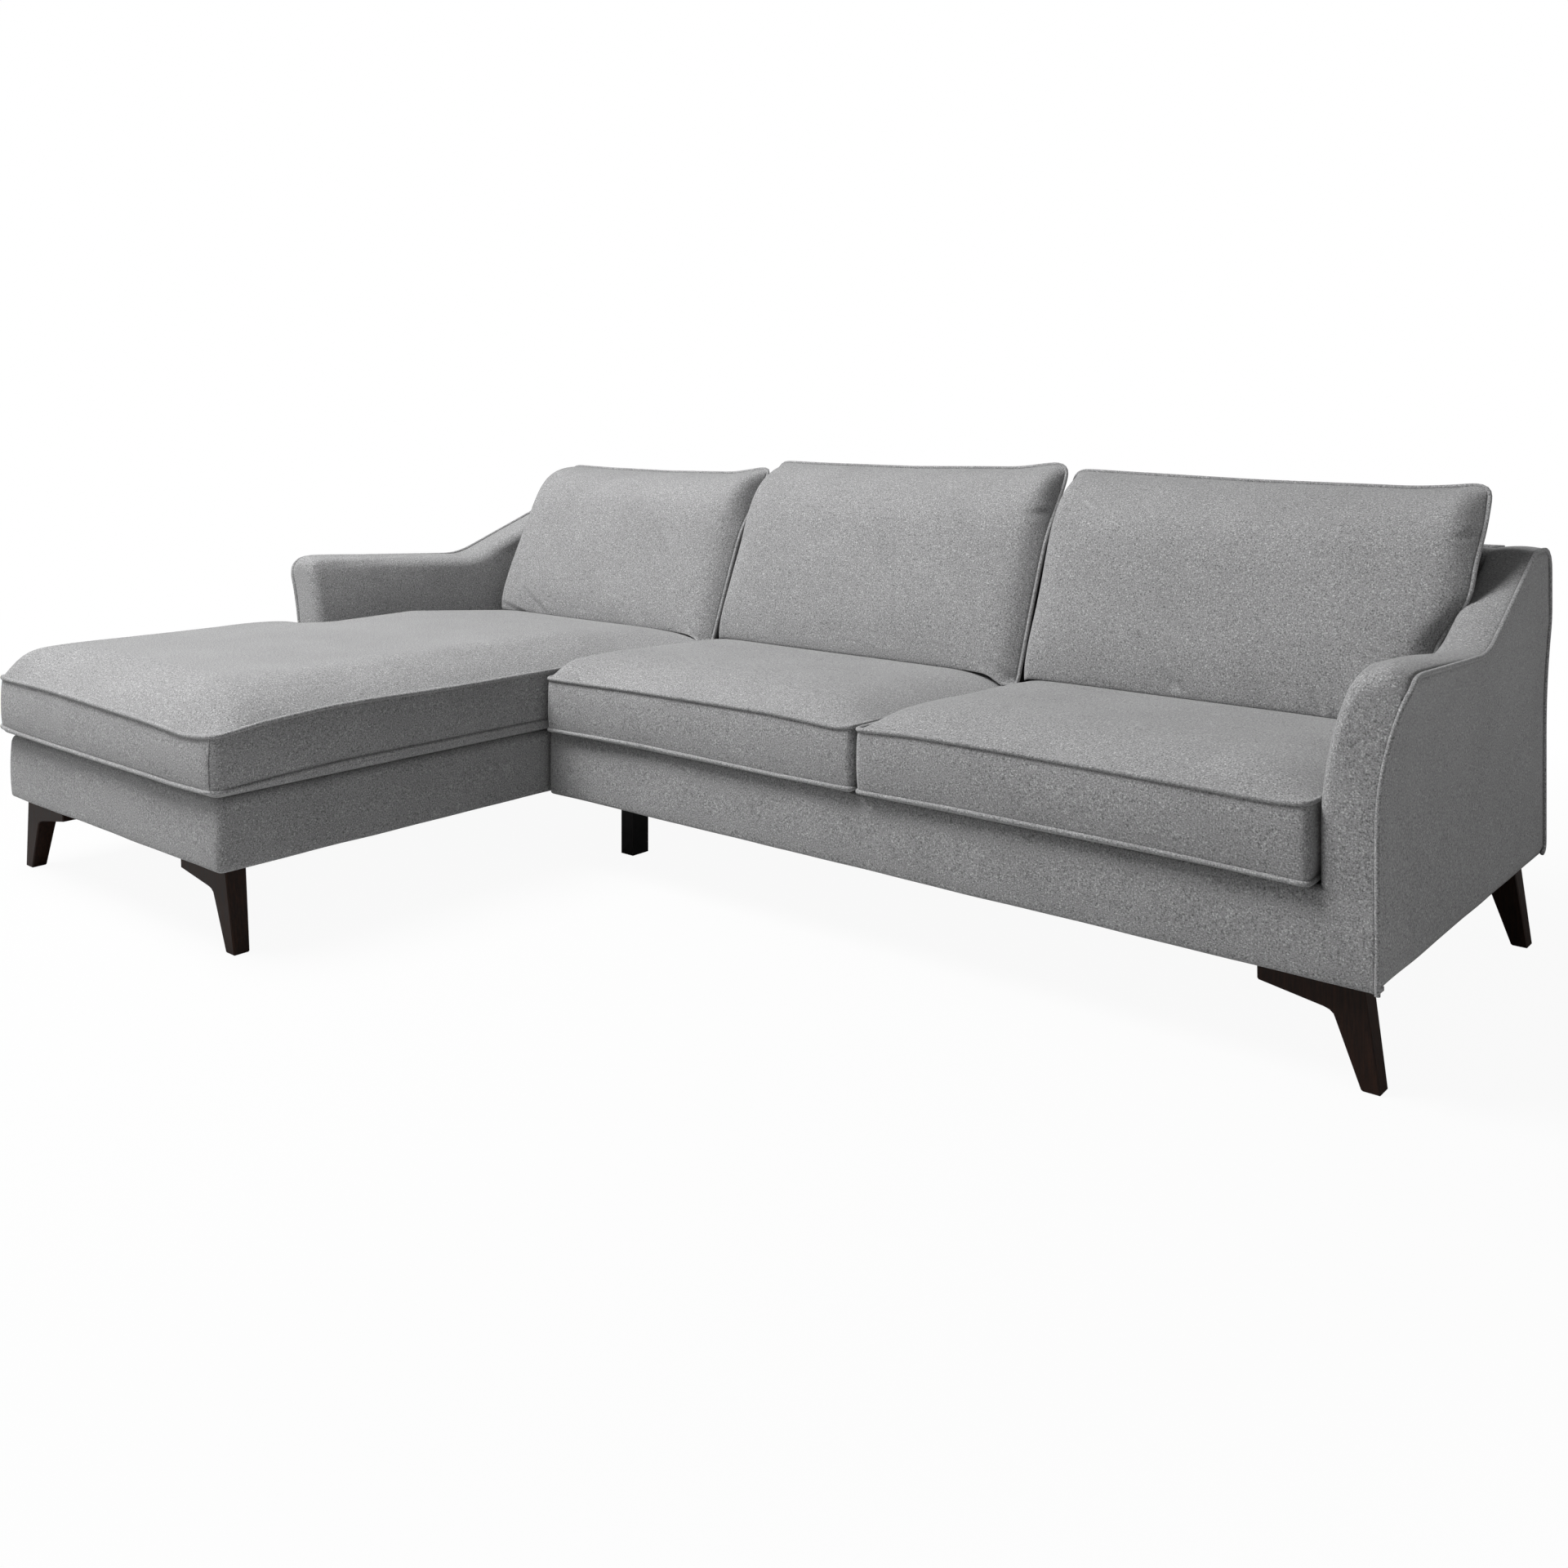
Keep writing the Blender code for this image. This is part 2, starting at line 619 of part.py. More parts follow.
def back_cushion(side, left, right, top, shelf, over_arm, fabric):
    """Pillow with a thin rim, leaning on the back and squashed flat where it stands on the seat.

    top and shelf are the seat's own, and over_arm is how far its upper right corner spills out over the arm.
    """
    foot = REAR - BACK_CUSHION_FOOT
    seat_rear = inside_back(BASE_TOP) - CUSHION_CLEARANCE
    floor = shelf + TOUCH
    height = BACK_CUSHION_HEIGHTS[side]
    sine, cosine = math.sin(BACK_CUSHION_LEAN), math.cos(BACK_CUSHION_LEAN)
    low, high = -BACK_CUSHION_TUCK, height
    across = [left + step for step in BACK_CUSHION_STEPS]
    across += spread(left + BACK_CUSHION_MIDDLE, right - BACK_CUSHION_MIDDLE, 3)
    across += [right - step for step in reversed(BACK_CUSHION_STEPS)]
    ups = [low, -BACK_CUSHION_SQUASH] + spread(BACK_CUSHION_EDGE, high - BACK_CUSHION_EDGE, 4) + [high]

    def fullness(x, up):
        """Share of the full thickness: quick to fill at the sides and the foot, slower at the head."""
        to_side = right - x if side == "left" else min(x - left, right - x)
        from_side = clamp01(to_side / BACK_CUSHION_REACH)
        along = 2 * (up - low) / (high - low) - 1
        return (1 - (1 - from_side) ** 4) * (1 - abs(along) ** (8 if along < 0 else 3))

    def shape(x, up, front):
        if front:
            out = BACK_CUSHION_FRONT * fullness(x, up) + BACK_CUSHION_RIM / 2
        else:
            out = -BACK_CUSHION_REAR * fullness(x, up) - BACK_CUSHION_RIM / 2
        u = 2 * (x - left) / (right - left) - 1
        if up == high:
            up -= BACK_CUSHION_SAG * (1 - u ** 2)
        x += over_arm * clamp01((up - high + SPILL_START) / SPILL_RISE) * clamp01(u)
        y = foot + up * sine - out * cosine
        z = floor + up * cosine + out * sine
        return (x, y, max(z, seat_level(y, seat_rear, top, shelf) + TOUCH))

    middle = ((left + right) / 2, foot, floor)
    return cushion("back_cushion_" + side, across, ups, shape, fabric, middle)


# Modules

def base(prefix, left, right, front, timber, felt, black):
    """Rails, deck pad and dust cover of one module, between the inner faces of its panels."""
    x0, x1 = left + PANEL_T + TOUCH, right - PANEL_T - TOUCH
    y0, y1 = front + PANEL_T + TOUCH, INNER_REAR
    inner0, inner1 = x0 + RAIL_T + TOUCH, x1 - RAIL_T - TOUCH
    low, top = RAIL_LOW, RAIL_TOP
    box(prefix + "_front_rail", (x0, y0, low), (x1, y0 + RAIL_T, top), timber)
    box(prefix + "_left_rail", (x0, y0 + RAIL_T + TOUCH, low), (x0 + RAIL_T, y1, top), timber)
    box(prefix + "_right_rail", (x1 - RAIL_T, y0 + RAIL_T + TOUCH, low), (x1, y1, top), timber)
    box(prefix + "_rear_rail", (inner0, y1 - RAIL_T, low), (inner1, y1, top), timber)
    above_cover = low + DUST_COVER_T + TOUCH
    cross_high = (inner1, SPRING_RAIL + RAIL_T, top)
    box(prefix + "_cross_rail", (inner0, SPRING_RAIL, above_cover), cross_high, timber)
    cover_rear = y1 - RAIL_T - TOUCH
    cover_high = (inner1, cover_rear, low + DUST_COVER_T)
    box(prefix + "_dust_cover", (inner0, y0 + RAIL_T + TOUCH, low), cover_high, black)
    deck_inset = ARM_BOARD_T + 2 * TOUCH
    deck_low, deck_top = BASE_TOP - DECK_T, BASE_TOP
    deck_rear = inside_back(BASE_TOP) + BACK_PAD_T
    low_corner, high_corner = (x0 + deck_inset, y0, deck_low), (x1 - deck_inset, deck_rear, deck_top)
    box(prefix + "_deck", low_corner, high_corner, felt, 0.002)


def back(prefix, left, right, flare_side, fabric, timber):
    """Posts, top rail, pad and outside panel; flare_side tells which end meets the arm."""
    reach = ARM_T + TOUCH
    inner_left = left + (reach if flare_side < 0 else 0.0)
    inner_right = right - (reach if flare_side > 0 else 0.0)
    back_pad(prefix + "_back_pad", inner_left, inner_right, fabric)
    back_post(prefix + "_back_post_left", inner_left + PANEL_T + TOUCH, timber)
    back_post(prefix + "_back_post_right", inner_right - PANEL_T - TOUCH - POST_T, timber)
    rail_low = HEAD_HEIGHT - TOP_RAIL_HEIGHT
    rail_front = inside_back(HEAD_HEIGHT) + BACK_PAD_T + 2 * TOUCH
    low = (inner_left, rail_front, rail_low)
    high = (inner_right, INNER_REAR - TOUCH, HEAD_HEIGHT)
    box(prefix + "_back_top_rail", low, high, timber)
    outside_back(prefix + "_outside_back", left, right, flare_side, fabric)


def joining_plate(name, y, steel):
    """Flat bar screwed under both modules, across the seam between them."""
    high = LEG_HEIGHT - TOUCH
    low = (CHAISE_RIGHT - JOINING_REACH, y - JOINING_WIDTH / 2, high - JOINING_T)
    return box(name, low, (SOFA_LEFT + JOINING_REACH, y + JOINING_WIDTH / 2, high), steel)


def chaise(fabric, timber, felt, black, steel, wood, dark):
    left, right, front = LEFT, CHAISE_RIGHT, CHAISE_FRONT
    base("chaise", left, right, front, timber, felt, black)
    low, top = BASE_LOW, BASE_TOP
    mid = (front + SPRING_RAIL) / 2
    inner0, inner1 = left + PANEL_T + RAIL_T + 2 * TOUCH, right - PANEL_T - RAIL_T - 2 * TOUCH
    rail_low = RAIL_LOW + DUST_COVER_T + TOUCH
    box("chaise_middle_rail", (inner0, mid, rail_low), (inner1, mid + RAIL_T, low + LOW_RAIL_HEIGHT), timber)
    box("chaise_front_border", (left, front, low), (right, front + PANEL_T, top), fabric, 0.004)
    side_low, side_high = front + PANEL_T + TOUCH, LEFT_ARM_FRONT - TOUCH
    box("chaise_left_border", (left, side_low, low), (left + PANEL_T, side_high, top), fabric, 0.004)
    box("chaise_right_border", (right - PANEL_T, side_low, low), (right, INNER_REAR, top), fabric, 0.004)
    back("chaise", left, right, -1, fabric, timber)
    arm("left_arm", left, -1, LEFT_ARM_FRONT, fabric, timber)
    z = RAIL_TOP - SPRING_WIRE * 2
    spring_front = front + PANEL_T + RAIL_T
    for k in range(CHAISE_SPRINGS):
        y = lerp(spring_front, SPRING_RAIL, (k + 0.5) / CHAISE_SPRINGS)
        spring(f"chaise_spring_{k + 1}", (inner0, y, z), (inner1, y, z), (0.0, 1.0, 0.0), steel)
    leg_front = front + LEG_INSET + LEG_TOP_T / 2
    leg_rear = REAR - LEG_REAR_INSET - LEG_TOP_T / 2
    corner_leg("chaise_front_left_leg", left, -1, leg_front, wood)
    corner_leg("chaise_front_right_leg", right, 1, leg_front, wood)
    corner_leg("chaise_rear_left_leg", left, -1, leg_rear, wood)
    support_left = right - SUPPORT_INSET - SUPPORT_WIDTH
    support_leg("chaise_rear_right_leg", support_left, REAR - LEG_REAR_INSET - SUPPORT_DEPTH, dark)
    chaise_cushion("chaise_seat_cushion", fabric)
    half_gap = BACK_CUSHION_GAP / 2
    first = left + ARM_T + CUSHION_CLEARANCE
    last = right + MODULE_GAP / 2 - half_gap
    back_cushion("left", first, last, CHAISE_TOP, CHAISE_SHELF, 0.0, fabric)


def sofa(fabric, timber, felt, black, steel, wood, dark):
    left, right, front = SOFA_LEFT, RIGHT, FRONT
    base("sofa", left, right, front, timber, felt, black)
    low, top = BASE_LOW, BASE_TOP
    middle = (left + right - ARM_T) / 2
    rail_low = RAIL_LOW + DUST_COVER_T + TOUCH
    inner_front = front + PANEL_T + RAIL_T + 2 * TOUCH
    box(
        "sofa_middle_rail",
        (middle - RAIL_T / 2, inner_front, rail_low),
        (middle + RAIL_T / 2, SPRING_RAIL - TOUCH, low + LOW_RAIL_HEIGHT),
        timber,
    )
    border_high = (right - PANEL_T - TOUCH, front + PANEL_T, top)
    box("sofa_front_border", (left, front, low), border_high, fabric, 0.004)
    back("sofa", left, right, 1, fabric, timber)
    arm("right_arm", right, 1, FRONT, fabric, timber)
    z = RAIL_TOP - SPRING_WIRE * 2
    for k in range(SOFA_SPRINGS):
        x = lerp(left, right - ARM_T, (k + 0.5) / SOFA_SPRINGS)
        start, end = (x, inner_front, z), (x, SPRING_RAIL - TOUCH, z)
        spring(f"sofa_spring_{k + 1}", start, end, (1.0, 0.0, 0.0), steel)
    leg_rear = REAR - LEG_REAR_INSET - LEG_TOP_T / 2
    corner_leg("sofa_front_right_leg", right, 1, front + LEG_INSET + LEG_TOP_T / 2, wood)
    corner_leg("sofa_rear_right_leg", right, 1, leg_rear, wood)
    support_left = left + SUPPORT_INSET
    support_leg("sofa_front_left_leg", support_left, front + SUPPORT_SETBACK, dark)
    support_leg("sofa_rear_left_leg", support_left, REAR - LEG_REAR_INSET - SUPPORT_DEPTH, dark)
    first, last = left + CUSHION_OVERHANG / 2, right - ARM_T - CUSHION_CLEARANCE
    middle = (first + last) / 2
    seat_cushion("seat_cushion_middle", first, middle - CUSHION_CLEARANCE / 2, fabric)
    seat_cushion("seat_cushion_right", middle + CUSHION_CLEARANCE / 2, last, fabric)
    half_gap = BACK_CUSHION_GAP / 2
    back_first = left - MODULE_GAP / 2 + half_gap
    back_cushion("middle", back_first, middle - half_gap, SEAT_TOP, SEAT_SHELF, 0.0, fabric)
    back_cushion("right", middle + half_gap, last, SEAT_TOP, SEAT_SHELF, BACK_CUSHION_OVER_ARM, fabric)


def main():
    start_scene()
    fabric = material("grey_melange_fabric", (0.30, 0.30, 0.305), 0.95)
    timber = material("frame_timber", (0.55, 0.38, 0.22), 0.7)
    felt = material("deck_felt", (0.10, 0.10, 0.105), 0.95)
    black = material("dust_cover_cloth", (0.02, 0.02, 0.02), 0.95)
    steel = material("spring_steel", (0.45, 0.45, 0.47), 0.35, 1.0)
    wood = material("espresso_wood", (0.035, 0.018, 0.012), 0.4)
    dark = material("black_support", (0.012, 0.012, 0.012), 0.5)
    chaise(fabric, timber, felt, black, steel, wood, dark)
    sofa(fabric, timber, felt, black, steel, wood, dark)
    joining_plate("joining_plate_front", FRONT + JOINING_SETBACK, steel)
    joining_plate("joining_plate_rear", REAR - JOINING_SETBACK, steel)


if __name__ == "__main__":
    main()
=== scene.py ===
"""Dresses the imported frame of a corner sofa: cloth covers, piped cushions, stained legs and a pale stage.

Metres, +Z up, the sofa faces -Y. Every shape is worked out as arrays over a grid or along a path.
"""

import math

import bpy
import numpy as np
from bpy.props import FloatProperty, FloatVectorProperty, PointerProperty
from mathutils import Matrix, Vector


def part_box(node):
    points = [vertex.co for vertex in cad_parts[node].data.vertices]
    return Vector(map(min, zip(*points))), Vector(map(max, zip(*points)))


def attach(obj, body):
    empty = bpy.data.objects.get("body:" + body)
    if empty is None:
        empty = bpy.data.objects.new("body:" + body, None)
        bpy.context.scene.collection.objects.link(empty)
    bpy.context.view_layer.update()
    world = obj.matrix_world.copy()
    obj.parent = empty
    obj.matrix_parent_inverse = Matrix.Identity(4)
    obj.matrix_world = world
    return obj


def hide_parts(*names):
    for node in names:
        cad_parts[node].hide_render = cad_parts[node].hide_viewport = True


bl_info = {
    "name": "Corner sofa upholstery",
    "version": (1, 0, 0),
    "blender": (4, 5, 0),
    "location": "3D View > Sidebar > Corner sofa",
    "description": "Covers the frame of a corner sofa in melange cloth, with piped cushions and stained legs",
    "category": "Object",
}

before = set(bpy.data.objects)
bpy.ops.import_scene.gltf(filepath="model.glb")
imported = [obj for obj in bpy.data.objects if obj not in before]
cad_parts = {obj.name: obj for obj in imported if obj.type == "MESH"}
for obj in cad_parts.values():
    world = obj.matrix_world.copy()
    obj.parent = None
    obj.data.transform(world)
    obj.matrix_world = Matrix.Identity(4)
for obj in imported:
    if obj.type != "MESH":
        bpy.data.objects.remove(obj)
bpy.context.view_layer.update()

FABRIC_SLOT = "grey_melange_fabric"
PANEL_T = 0.010
FLARE_REAR = 0.010
FLARE_START = 0.390
FLARE_RISE = 0.210


def low(node):
    return np.array(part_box(node)[0])


def high(node):
    return np.array(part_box(node)[1])


# Places read from the frame
CHAISE_LEFT, CHAISE_FRONT, BASE_LOW = low("chaise_front_border")
CHAISE_RIGHT = high("chaise_front_border")[0]
BASE_TOP = high("chaise_front_border")[2]
SOFA_LEFT, SOFA_FRONT = low("sofa_front_border")[:2]
RIGHT = low("right_arm_side_panel")[0] + PANEL_T
REAR, BACK_TOP = high("sofa_outside_back")[1:]
LEFT_ARM_FRONT = low("left_arm_pad")[1]
DECK_TOP = high("sofa_deck")[2]
ARM_T = RIGHT - high("sofa_back_pad")[0]


# Sizes and looks that a user would change

def metres(name, description, default):
    """A property that holds a length."""
    return FloatProperty(name=name, description=description, default=default, unit="LENGTH")


def colour(name, description, default):
    """A property that holds a colour."""
    return FloatVectorProperty(name=name, description=description, default=default, subtype="COLOR")


def amount(name, description, default):
    """A property that holds a plain number."""
    return FloatProperty(name=name, description=description, default=default)


class CushionSizes(bpy.types.PropertyGroup):
    cell: metres("Cell", "Spacing of the cloth's grid", 0.0115)
    crown: metres("Crown", "Height of the seats' crown", 0.452)
    chaise_crown: metres("Chaise crown", "Height of the chaise's crown", 0.476)
    seam_high: metres("Top seam", "Height of the top seam", 0.417)
    seam_low: metres("Bottom seam", "Height of the bottom seam", 0.306)
    shelf: metres("Shelf", "Height of a seat where a back cushion's foot begins", 0.442)
    shelf_reach: metres("Shelf reach", "Depth of a seat under its back cushion", 0.200)
    slope_reach: metres("Slope reach", "Depth of the part of a seat that falls to the rear", 0.550)
    lean: FloatProperty(
        name="Lean", description="Lean of the back cushions", default=math.radians(22.0), subtype="ANGLE"
    )
    pressure: amount("Pressure", "Push of the filling on its cover", 4.0)
    slack: amount("Slack", "Share by which a cover is cut too large", 0.008)
    settle: metres("Settling", "Most that a cover moves as it fills", 0.008)


class CoverSizes(bpy.types.PropertyGroup):
    arm_corner: metres("Arm corner", "Round of the arm's front top corner", 0.028)
    arm_shoulder: metres("Arm shoulder", "Round of that corner at the arm's outer edge", 0.050)
    arm_roll: metres("Arm roll", "Round of the arm's inner edge", 0.022)
    arm_top: metres("Arm top", "Height of the arm's top at its front", 0.617)
    arm_fall: metres("Arm fall", "Fall of the arm's top to the sweep", 0.025)
    sweep_foot: metres("Sweep foot", "Distance of the sweep's foot from the rear", 0.465)
    sweep_head: metres("Sweep head", "Distance of the sweep's head from the rear", 0.108)
    sweep_blend: metres("Sweep bend", "Half length of the bend at the sweep's foot", 0.045)
    flare: metres("Flare", "Outward lean of the arm's top at its front", 0.045)
    flare_length: metres("Flare length", "Run over which the flare fades", 0.855)
    piping: metres("Piping", "Radius of the covered cord in the seams", 0.0042)
    padding: metres("Padding", "Swell of the covers over their boards", 0.004)


class ClothLook(bpy.types.PropertyGroup):
    light: colour("Light thread", "Colour of the pale fibres", (0.54, 0.54, 0.543))
    middle: colour("Middle thread", "Colour of the ground", (0.27, 0.27, 0.272))
    dark: colour("Dark thread", "Colour of the dark fibres", (0.10, 0.10, 0.102))
    speckle: amount("Speckle", "Specks of mixed fibre per metre", 380.0)
    thread: metres("Thread", "Width of a woven thread", 0.0022)


class WoodLook(bpy.types.PropertyGroup):
    stain: colour("Stain", "Colour of the stained legs", (0.026, 0.0100, 0.0050))
    grain: colour("Grain", "Colour of the darkest grain", (0.007, 0.003, 0.002))


class StageLook(bpy.types.PropertyGroup):
    key: amount("Key light", "Power of the high soft light", 350.0)
    side: amount("Side light", "Power of the low light at the right", 9.0)
    fill: amount("Fill light", "Power of the low front light", 8.0)
    ambient: amount("Ambient", "Strength of the light from all round", 0.17)


def sizes(group):
    return getattr(bpy.context.scene, group)


# Cloth, cord and mesh

def lerp(a, b, t):
    return a + (b - a) * t


def ease(t):
    t = np.clip(t, 0.0, 1.0)
    return t * t * (3 - 2 * t)


def spaced(start, end, cell):
    """Even steps of about one cell from start to end."""
    return np.linspace(start, end, max(2, round(abs(end - start) / cell) + 1))


def unit(directions):
    """Directions at length one."""
    return directions / np.maximum(np.linalg.norm(directions, axis=-1, keepdims=True), 1e-9)


def numbered(grid):
    """The numbers of a grid's points, row by row."""
    return np.arange(grid.shape[0] * grid.shape[1]).reshape(grid.shape[:2])


def corner_drop(radius, depth):
    """Drop of a quarter round: radius less the root of radius squared less (radius - depth) squared."""
    inside = np.clip(radius - depth, 0.0, radius)
    return radius - np.sqrt(np.maximum(radius ** 2 - inside ** 2, 0.0))


def patch(index, place, flip=False):
    """Four-sided faces over a matrix of vertex numbers, with each corner's place on the flat cloth."""
    around = [(slice(None, -1), slice(None, -1)), (slice(None, -1), slice(1, None))]
    around += [(slice(1, None), slice(1, None)), (slice(1, None), slice(None, -1))]
    if flip:
        around.reverse()
    faces = np.stack([index[part] for part in around], -1)
    places = np.stack([place[part] for part in around], -2)
    return faces.reshape(-1, 4), places.reshape(-1, 4, 2)


def chosen(cloth, mask):
    """Only the faces of a patch whose cell is true in mask."""
    faces, places = cloth
    return faces[mask.ravel()], places[mask.ravel()]


def walked(points, closed=False):
    """Distance walked along a line of points."""
    steps = np.linalg.norm(np.diff(points, axis=0), axis=-1)
    if closed:
        steps = np.append(steps, np.linalg.norm(points[0] - points[-1]))
    return np.concatenate([[0.0], np.cumsum(steps)])


def sewn(name, points, cloths, material):
    """A mesh of cloth patches that share the vertices in points; those that no face uses are dropped."""
    faces = np.concatenate([faces for faces, _ in cloths])
    places = np.concatenate([places for _, places in cloths])
    used, faces = np.unique(faces, return_inverse=True)
    faces = faces.reshape(-1, 4)
    points = points[used]
    mesh = bpy.data.meshes.new(name)
    mesh.vertices.add(len(points))
    mesh.vertices.foreach_set("co", points.astype(np.float32).ravel())
    mesh.loops.add(faces.size)
    mesh.loops.foreach_set("vertex_index", faces.astype(np.int32).ravel())
    mesh.polygons.add(len(faces))
    mesh.polygons.foreach_set("loop_start", np.arange(0, faces.size, 4, dtype=np.int32))
    mesh.polygons.foreach_set("use_smooth", np.ones(len(faces), bool))
    mesh.update(calc_edges=True)
    layer = mesh.uv_layers.new(name="cloth")
    layer.data.foreach_set("uv", places.astype(np.float32).ravel())
    mesh.materials.append(material)
    piece = bpy.data.objects.new(name, mesh)
    bpy.context.scene.collection.objects.link(piece)
    return piece, used


def places_of(piece):
    """The vertices of a piece as an array."""
    found = np.empty(len(piece.data.vertices) * 3, np.float32)
    piece.data.vertices.foreach_get("co", found)
    return found.reshape(-1, 3).astype(float)


def set_places(piece, points):
    piece.data.vertices.foreach_set("co", points.astype(np.float32).ravel())
    piece.data.update()


def normals_of(piece):
    found = np.empty(len(piece.data.vertices) * 3, np.float32)
    piece.data.vertices.foreach_get("normal", found)
    return found.reshape(-1, 3).astype(float)


def worn(points, amount, seed=0.0):
    """Gentle unevenness of stretched cloth: slow sines of the place, scaled to about the given amount."""
    x, y, z = points.T
    wave = np.sin(17 * x + 9 * z + seed) + np.sin(23 * y - 13 * z + 1.7 + seed)
    wave = wave + np.sin(11 * x - 19 * y + 29 * z + seed)
    wave += 0.6 * np.sin(41 * x + 37 * y + 0.5 + seed) * np.sin(33 * z + 2.1)
    return amount * wave / 3


def finished(piece, wear, seed, thickness=0.006):
    """Gives a fixed cover its unevenness, and its thickness inwards from the side that shows."""
    shift = normals_of(piece) * worn(places_of(piece), wear, seed)[:, None]
    set_places(piece, places_of(piece) + shift)
    wall = piece.modifiers.new("thickness", "SOLIDIFY")
    wall.thickness = thickness
    wall.offset = -1.0
    wall.use_even_offset = False
    return piece


def sheet(name, grid, place, cloth, flip=True):
    """A piece from one grid of points, with each point's place on the flat cloth."""
    return sewn(name, grid.reshape(-1, 3), [patch(numbered(grid), place, flip=flip)], cloth)[0]


def refined(piece, seams):
    """One step of subdivision, applied, that keeps the seam rows creased."""
    mesh = piece.data
    ends = np.empty(len(mesh.edges) * 2, np.int32)
    mesh.edges.foreach_get("vertices", ends)
    sharp = np.zeros(len(mesh.edges), np.float32)
    for seam in seams:
        sharp[np.isin(ends.reshape(-1, 2), seam).all(1)] = 1.0
    crease = mesh.attributes.new("crease_edge", "FLOAT", "EDGE")
    crease.data.foreach_set("value", sharp)
    finer = piece.modifiers.new("finer", "SUBSURF")
    finer.levels = finer.render_levels = 1
    graph = bpy.context.evaluated_depsgraph_get()
    finished = bpy.data.meshes.new_from_object(piece.evaluated_get(graph), depsgraph=graph)
    piece.modifiers.remove(finer)
    piece.data = finished
    finished.name = piece.name
    bpy.data.meshes.remove(mesh)


def evened(piece, shift, held, rounds=14):
    """Shifts without short creases: round by round, each is drawn halfway to the mean of its neighbours'."""
    ends = np.empty(len(piece.data.edges) * 2, np.int32)
    piece.data.edges.foreach_get("vertices", ends)
    one, other = ends.reshape(-1, 2).T
    count = np.maximum(np.bincount(ends, minlength=len(shift)), 1)[:, None]
    for _ in range(rounds):
        total = np.zeros_like(shift)
        np.add.at(total, one, shift[other])
        np.add.at(total, other, shift[one])
        shift = 0.5 * shift + 0.5 * total / count
        shift[held] = 0.0
    return shift


# The last step of the filling, which lets the cloth come to rest
FILLING_STEPS = 20


def filled(piece, held, pressure, slack, most):
    """The cover under the push of its filling: held vertices stay, the others move by at most a distance.

    The shift is shortened smoothly, as most times the hyperbolic tangent of its length over most.
    """
    start = places_of(piece)
    sewn_down = piece.vertex_groups.new(name="sewn_down")
    sewn_down.add(held.tolist(), 1.0, "REPLACE")
    filling = piece.modifiers.new("filling", "CLOTH")
    cloth = filling.settings
    cloth.quality = 6
    cloth.mass = 0.25
    cloth.tension_stiffness = cloth.compression_stiffness = 25
    cloth.shear_stiffness = 8
    cloth.bending_stiffness = 0.6
    cloth.use_pressure = True
    cloth.uniform_pressure_force = pressure
    cloth.shrink_min = -slack
    cloth.vertex_group_mass = "sewn_down"
    cloth.pin_stiffness = 1.0
    cloth.effector_weights.gravity = 0.0
    scene = bpy.context.scene
    filling.point_cache.frame_start = 1
    filling.point_cache.frame_end = FILLING_STEPS
    for step in range(1, FILLING_STEPS + 1):
        scene.frame_set(step)
    graph = bpy.context.evaluated_depsgraph_get()
    settled = piece.evaluated_get(graph).to_mesh()
    moved = np.empty(len(settled.vertices) * 3, np.float32)
    settled.vertices.foreach_get("co", moved)
    piece.evaluated_get(graph).to_mesh_clear()
    piece.modifiers.remove(filling)
    piece.vertex_groups.clear()
    scene.frame_set(1)
    shift = evened(piece, moved.reshape(-1, 3) - start, held)
    length = np.maximum(np.linalg.norm(shift, axis=1, keepdims=True), 1e-9)
    set_places(piece, start + shift / length * most * np.tanh(length / most))


def cord(name, path, outward, radius, material, closed=False, sides=10):
    """Covered cord along a line of points.

    A ring of points stands round each point of the line: the point plus radius times
    (cosine of the turn times outward plus sine of the turn times the direction square to it).
    """
    if closed:
        along = np.roll(path, -1, 0) - np.roll(path, 1, 0)
    else:
        along = np.gradient(path, axis=0)
    along = unit(along)
    outward = unit(outward - (outward * along).sum(1, keepdims=True) * along)
    aside = np.cross(along, outward)
    turn = np.arange(sides) * 2 * np.pi / sides
    ring = np.cos(turn)[None, :, None] * outward[:, None] + np.sin(turn)[None, :, None] * aside[:, None]
    points = (path[:, None] + radius * ring).reshape(-1, 3)
    index = np.arange(len(points)).reshape(len(path), sides)
    index = np.concatenate([index, index[:, :1]], 1)
    if closed:
        index = np.concatenate([index, index[:1]], 0)
    walk = walked(path, closed)[: len(index)]
    place = np.stack(np.meshgrid(walk, np.arange(sides + 1) * 2 * np.pi * radius / sides, indexing="ij"), -1)
    cloths = [patch(index, place)]
    if not closed:
        k = np.arange(sides // 2 - 1)
        cap = np.stack([k, k + 1, sides - 2 - k, sides - 1 - k], -1)
        blank = np.zeros((len(cap), 4, 2))
        cloths += [(cap[:, ::-1], blank), (cap + (len(path) - 1) * sides, blank)]
    return sewn(name, points, cloths, material)[0]


def smoothed(path, rounds, closed=True):
    """A line of points with each point drawn towards the middle of its neighbours, several times over."""
    for _ in range(rounds):
        if closed:
            path = 0.5 * path + 0.25 * (np.roll(path, 1, 0) + np.roll(path, -1, 0))
        else:
            middle = 0.5 * path[1:-1] + 0.25 * (path[:-2] + path[2:])
            path = np.concatenate([path[:1], middle, path[-1:]])
    return path


def own(piece, body, *nodes, slot=FABRIC_SLOT, fill=None):
    """Hangs a piece on what it rides on and hides the frame parts that it stands for; fill, how full it is,
    is not used.
    """
    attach(piece, body)
    if nodes:
        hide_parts(*nodes)
    return piece


# Materials

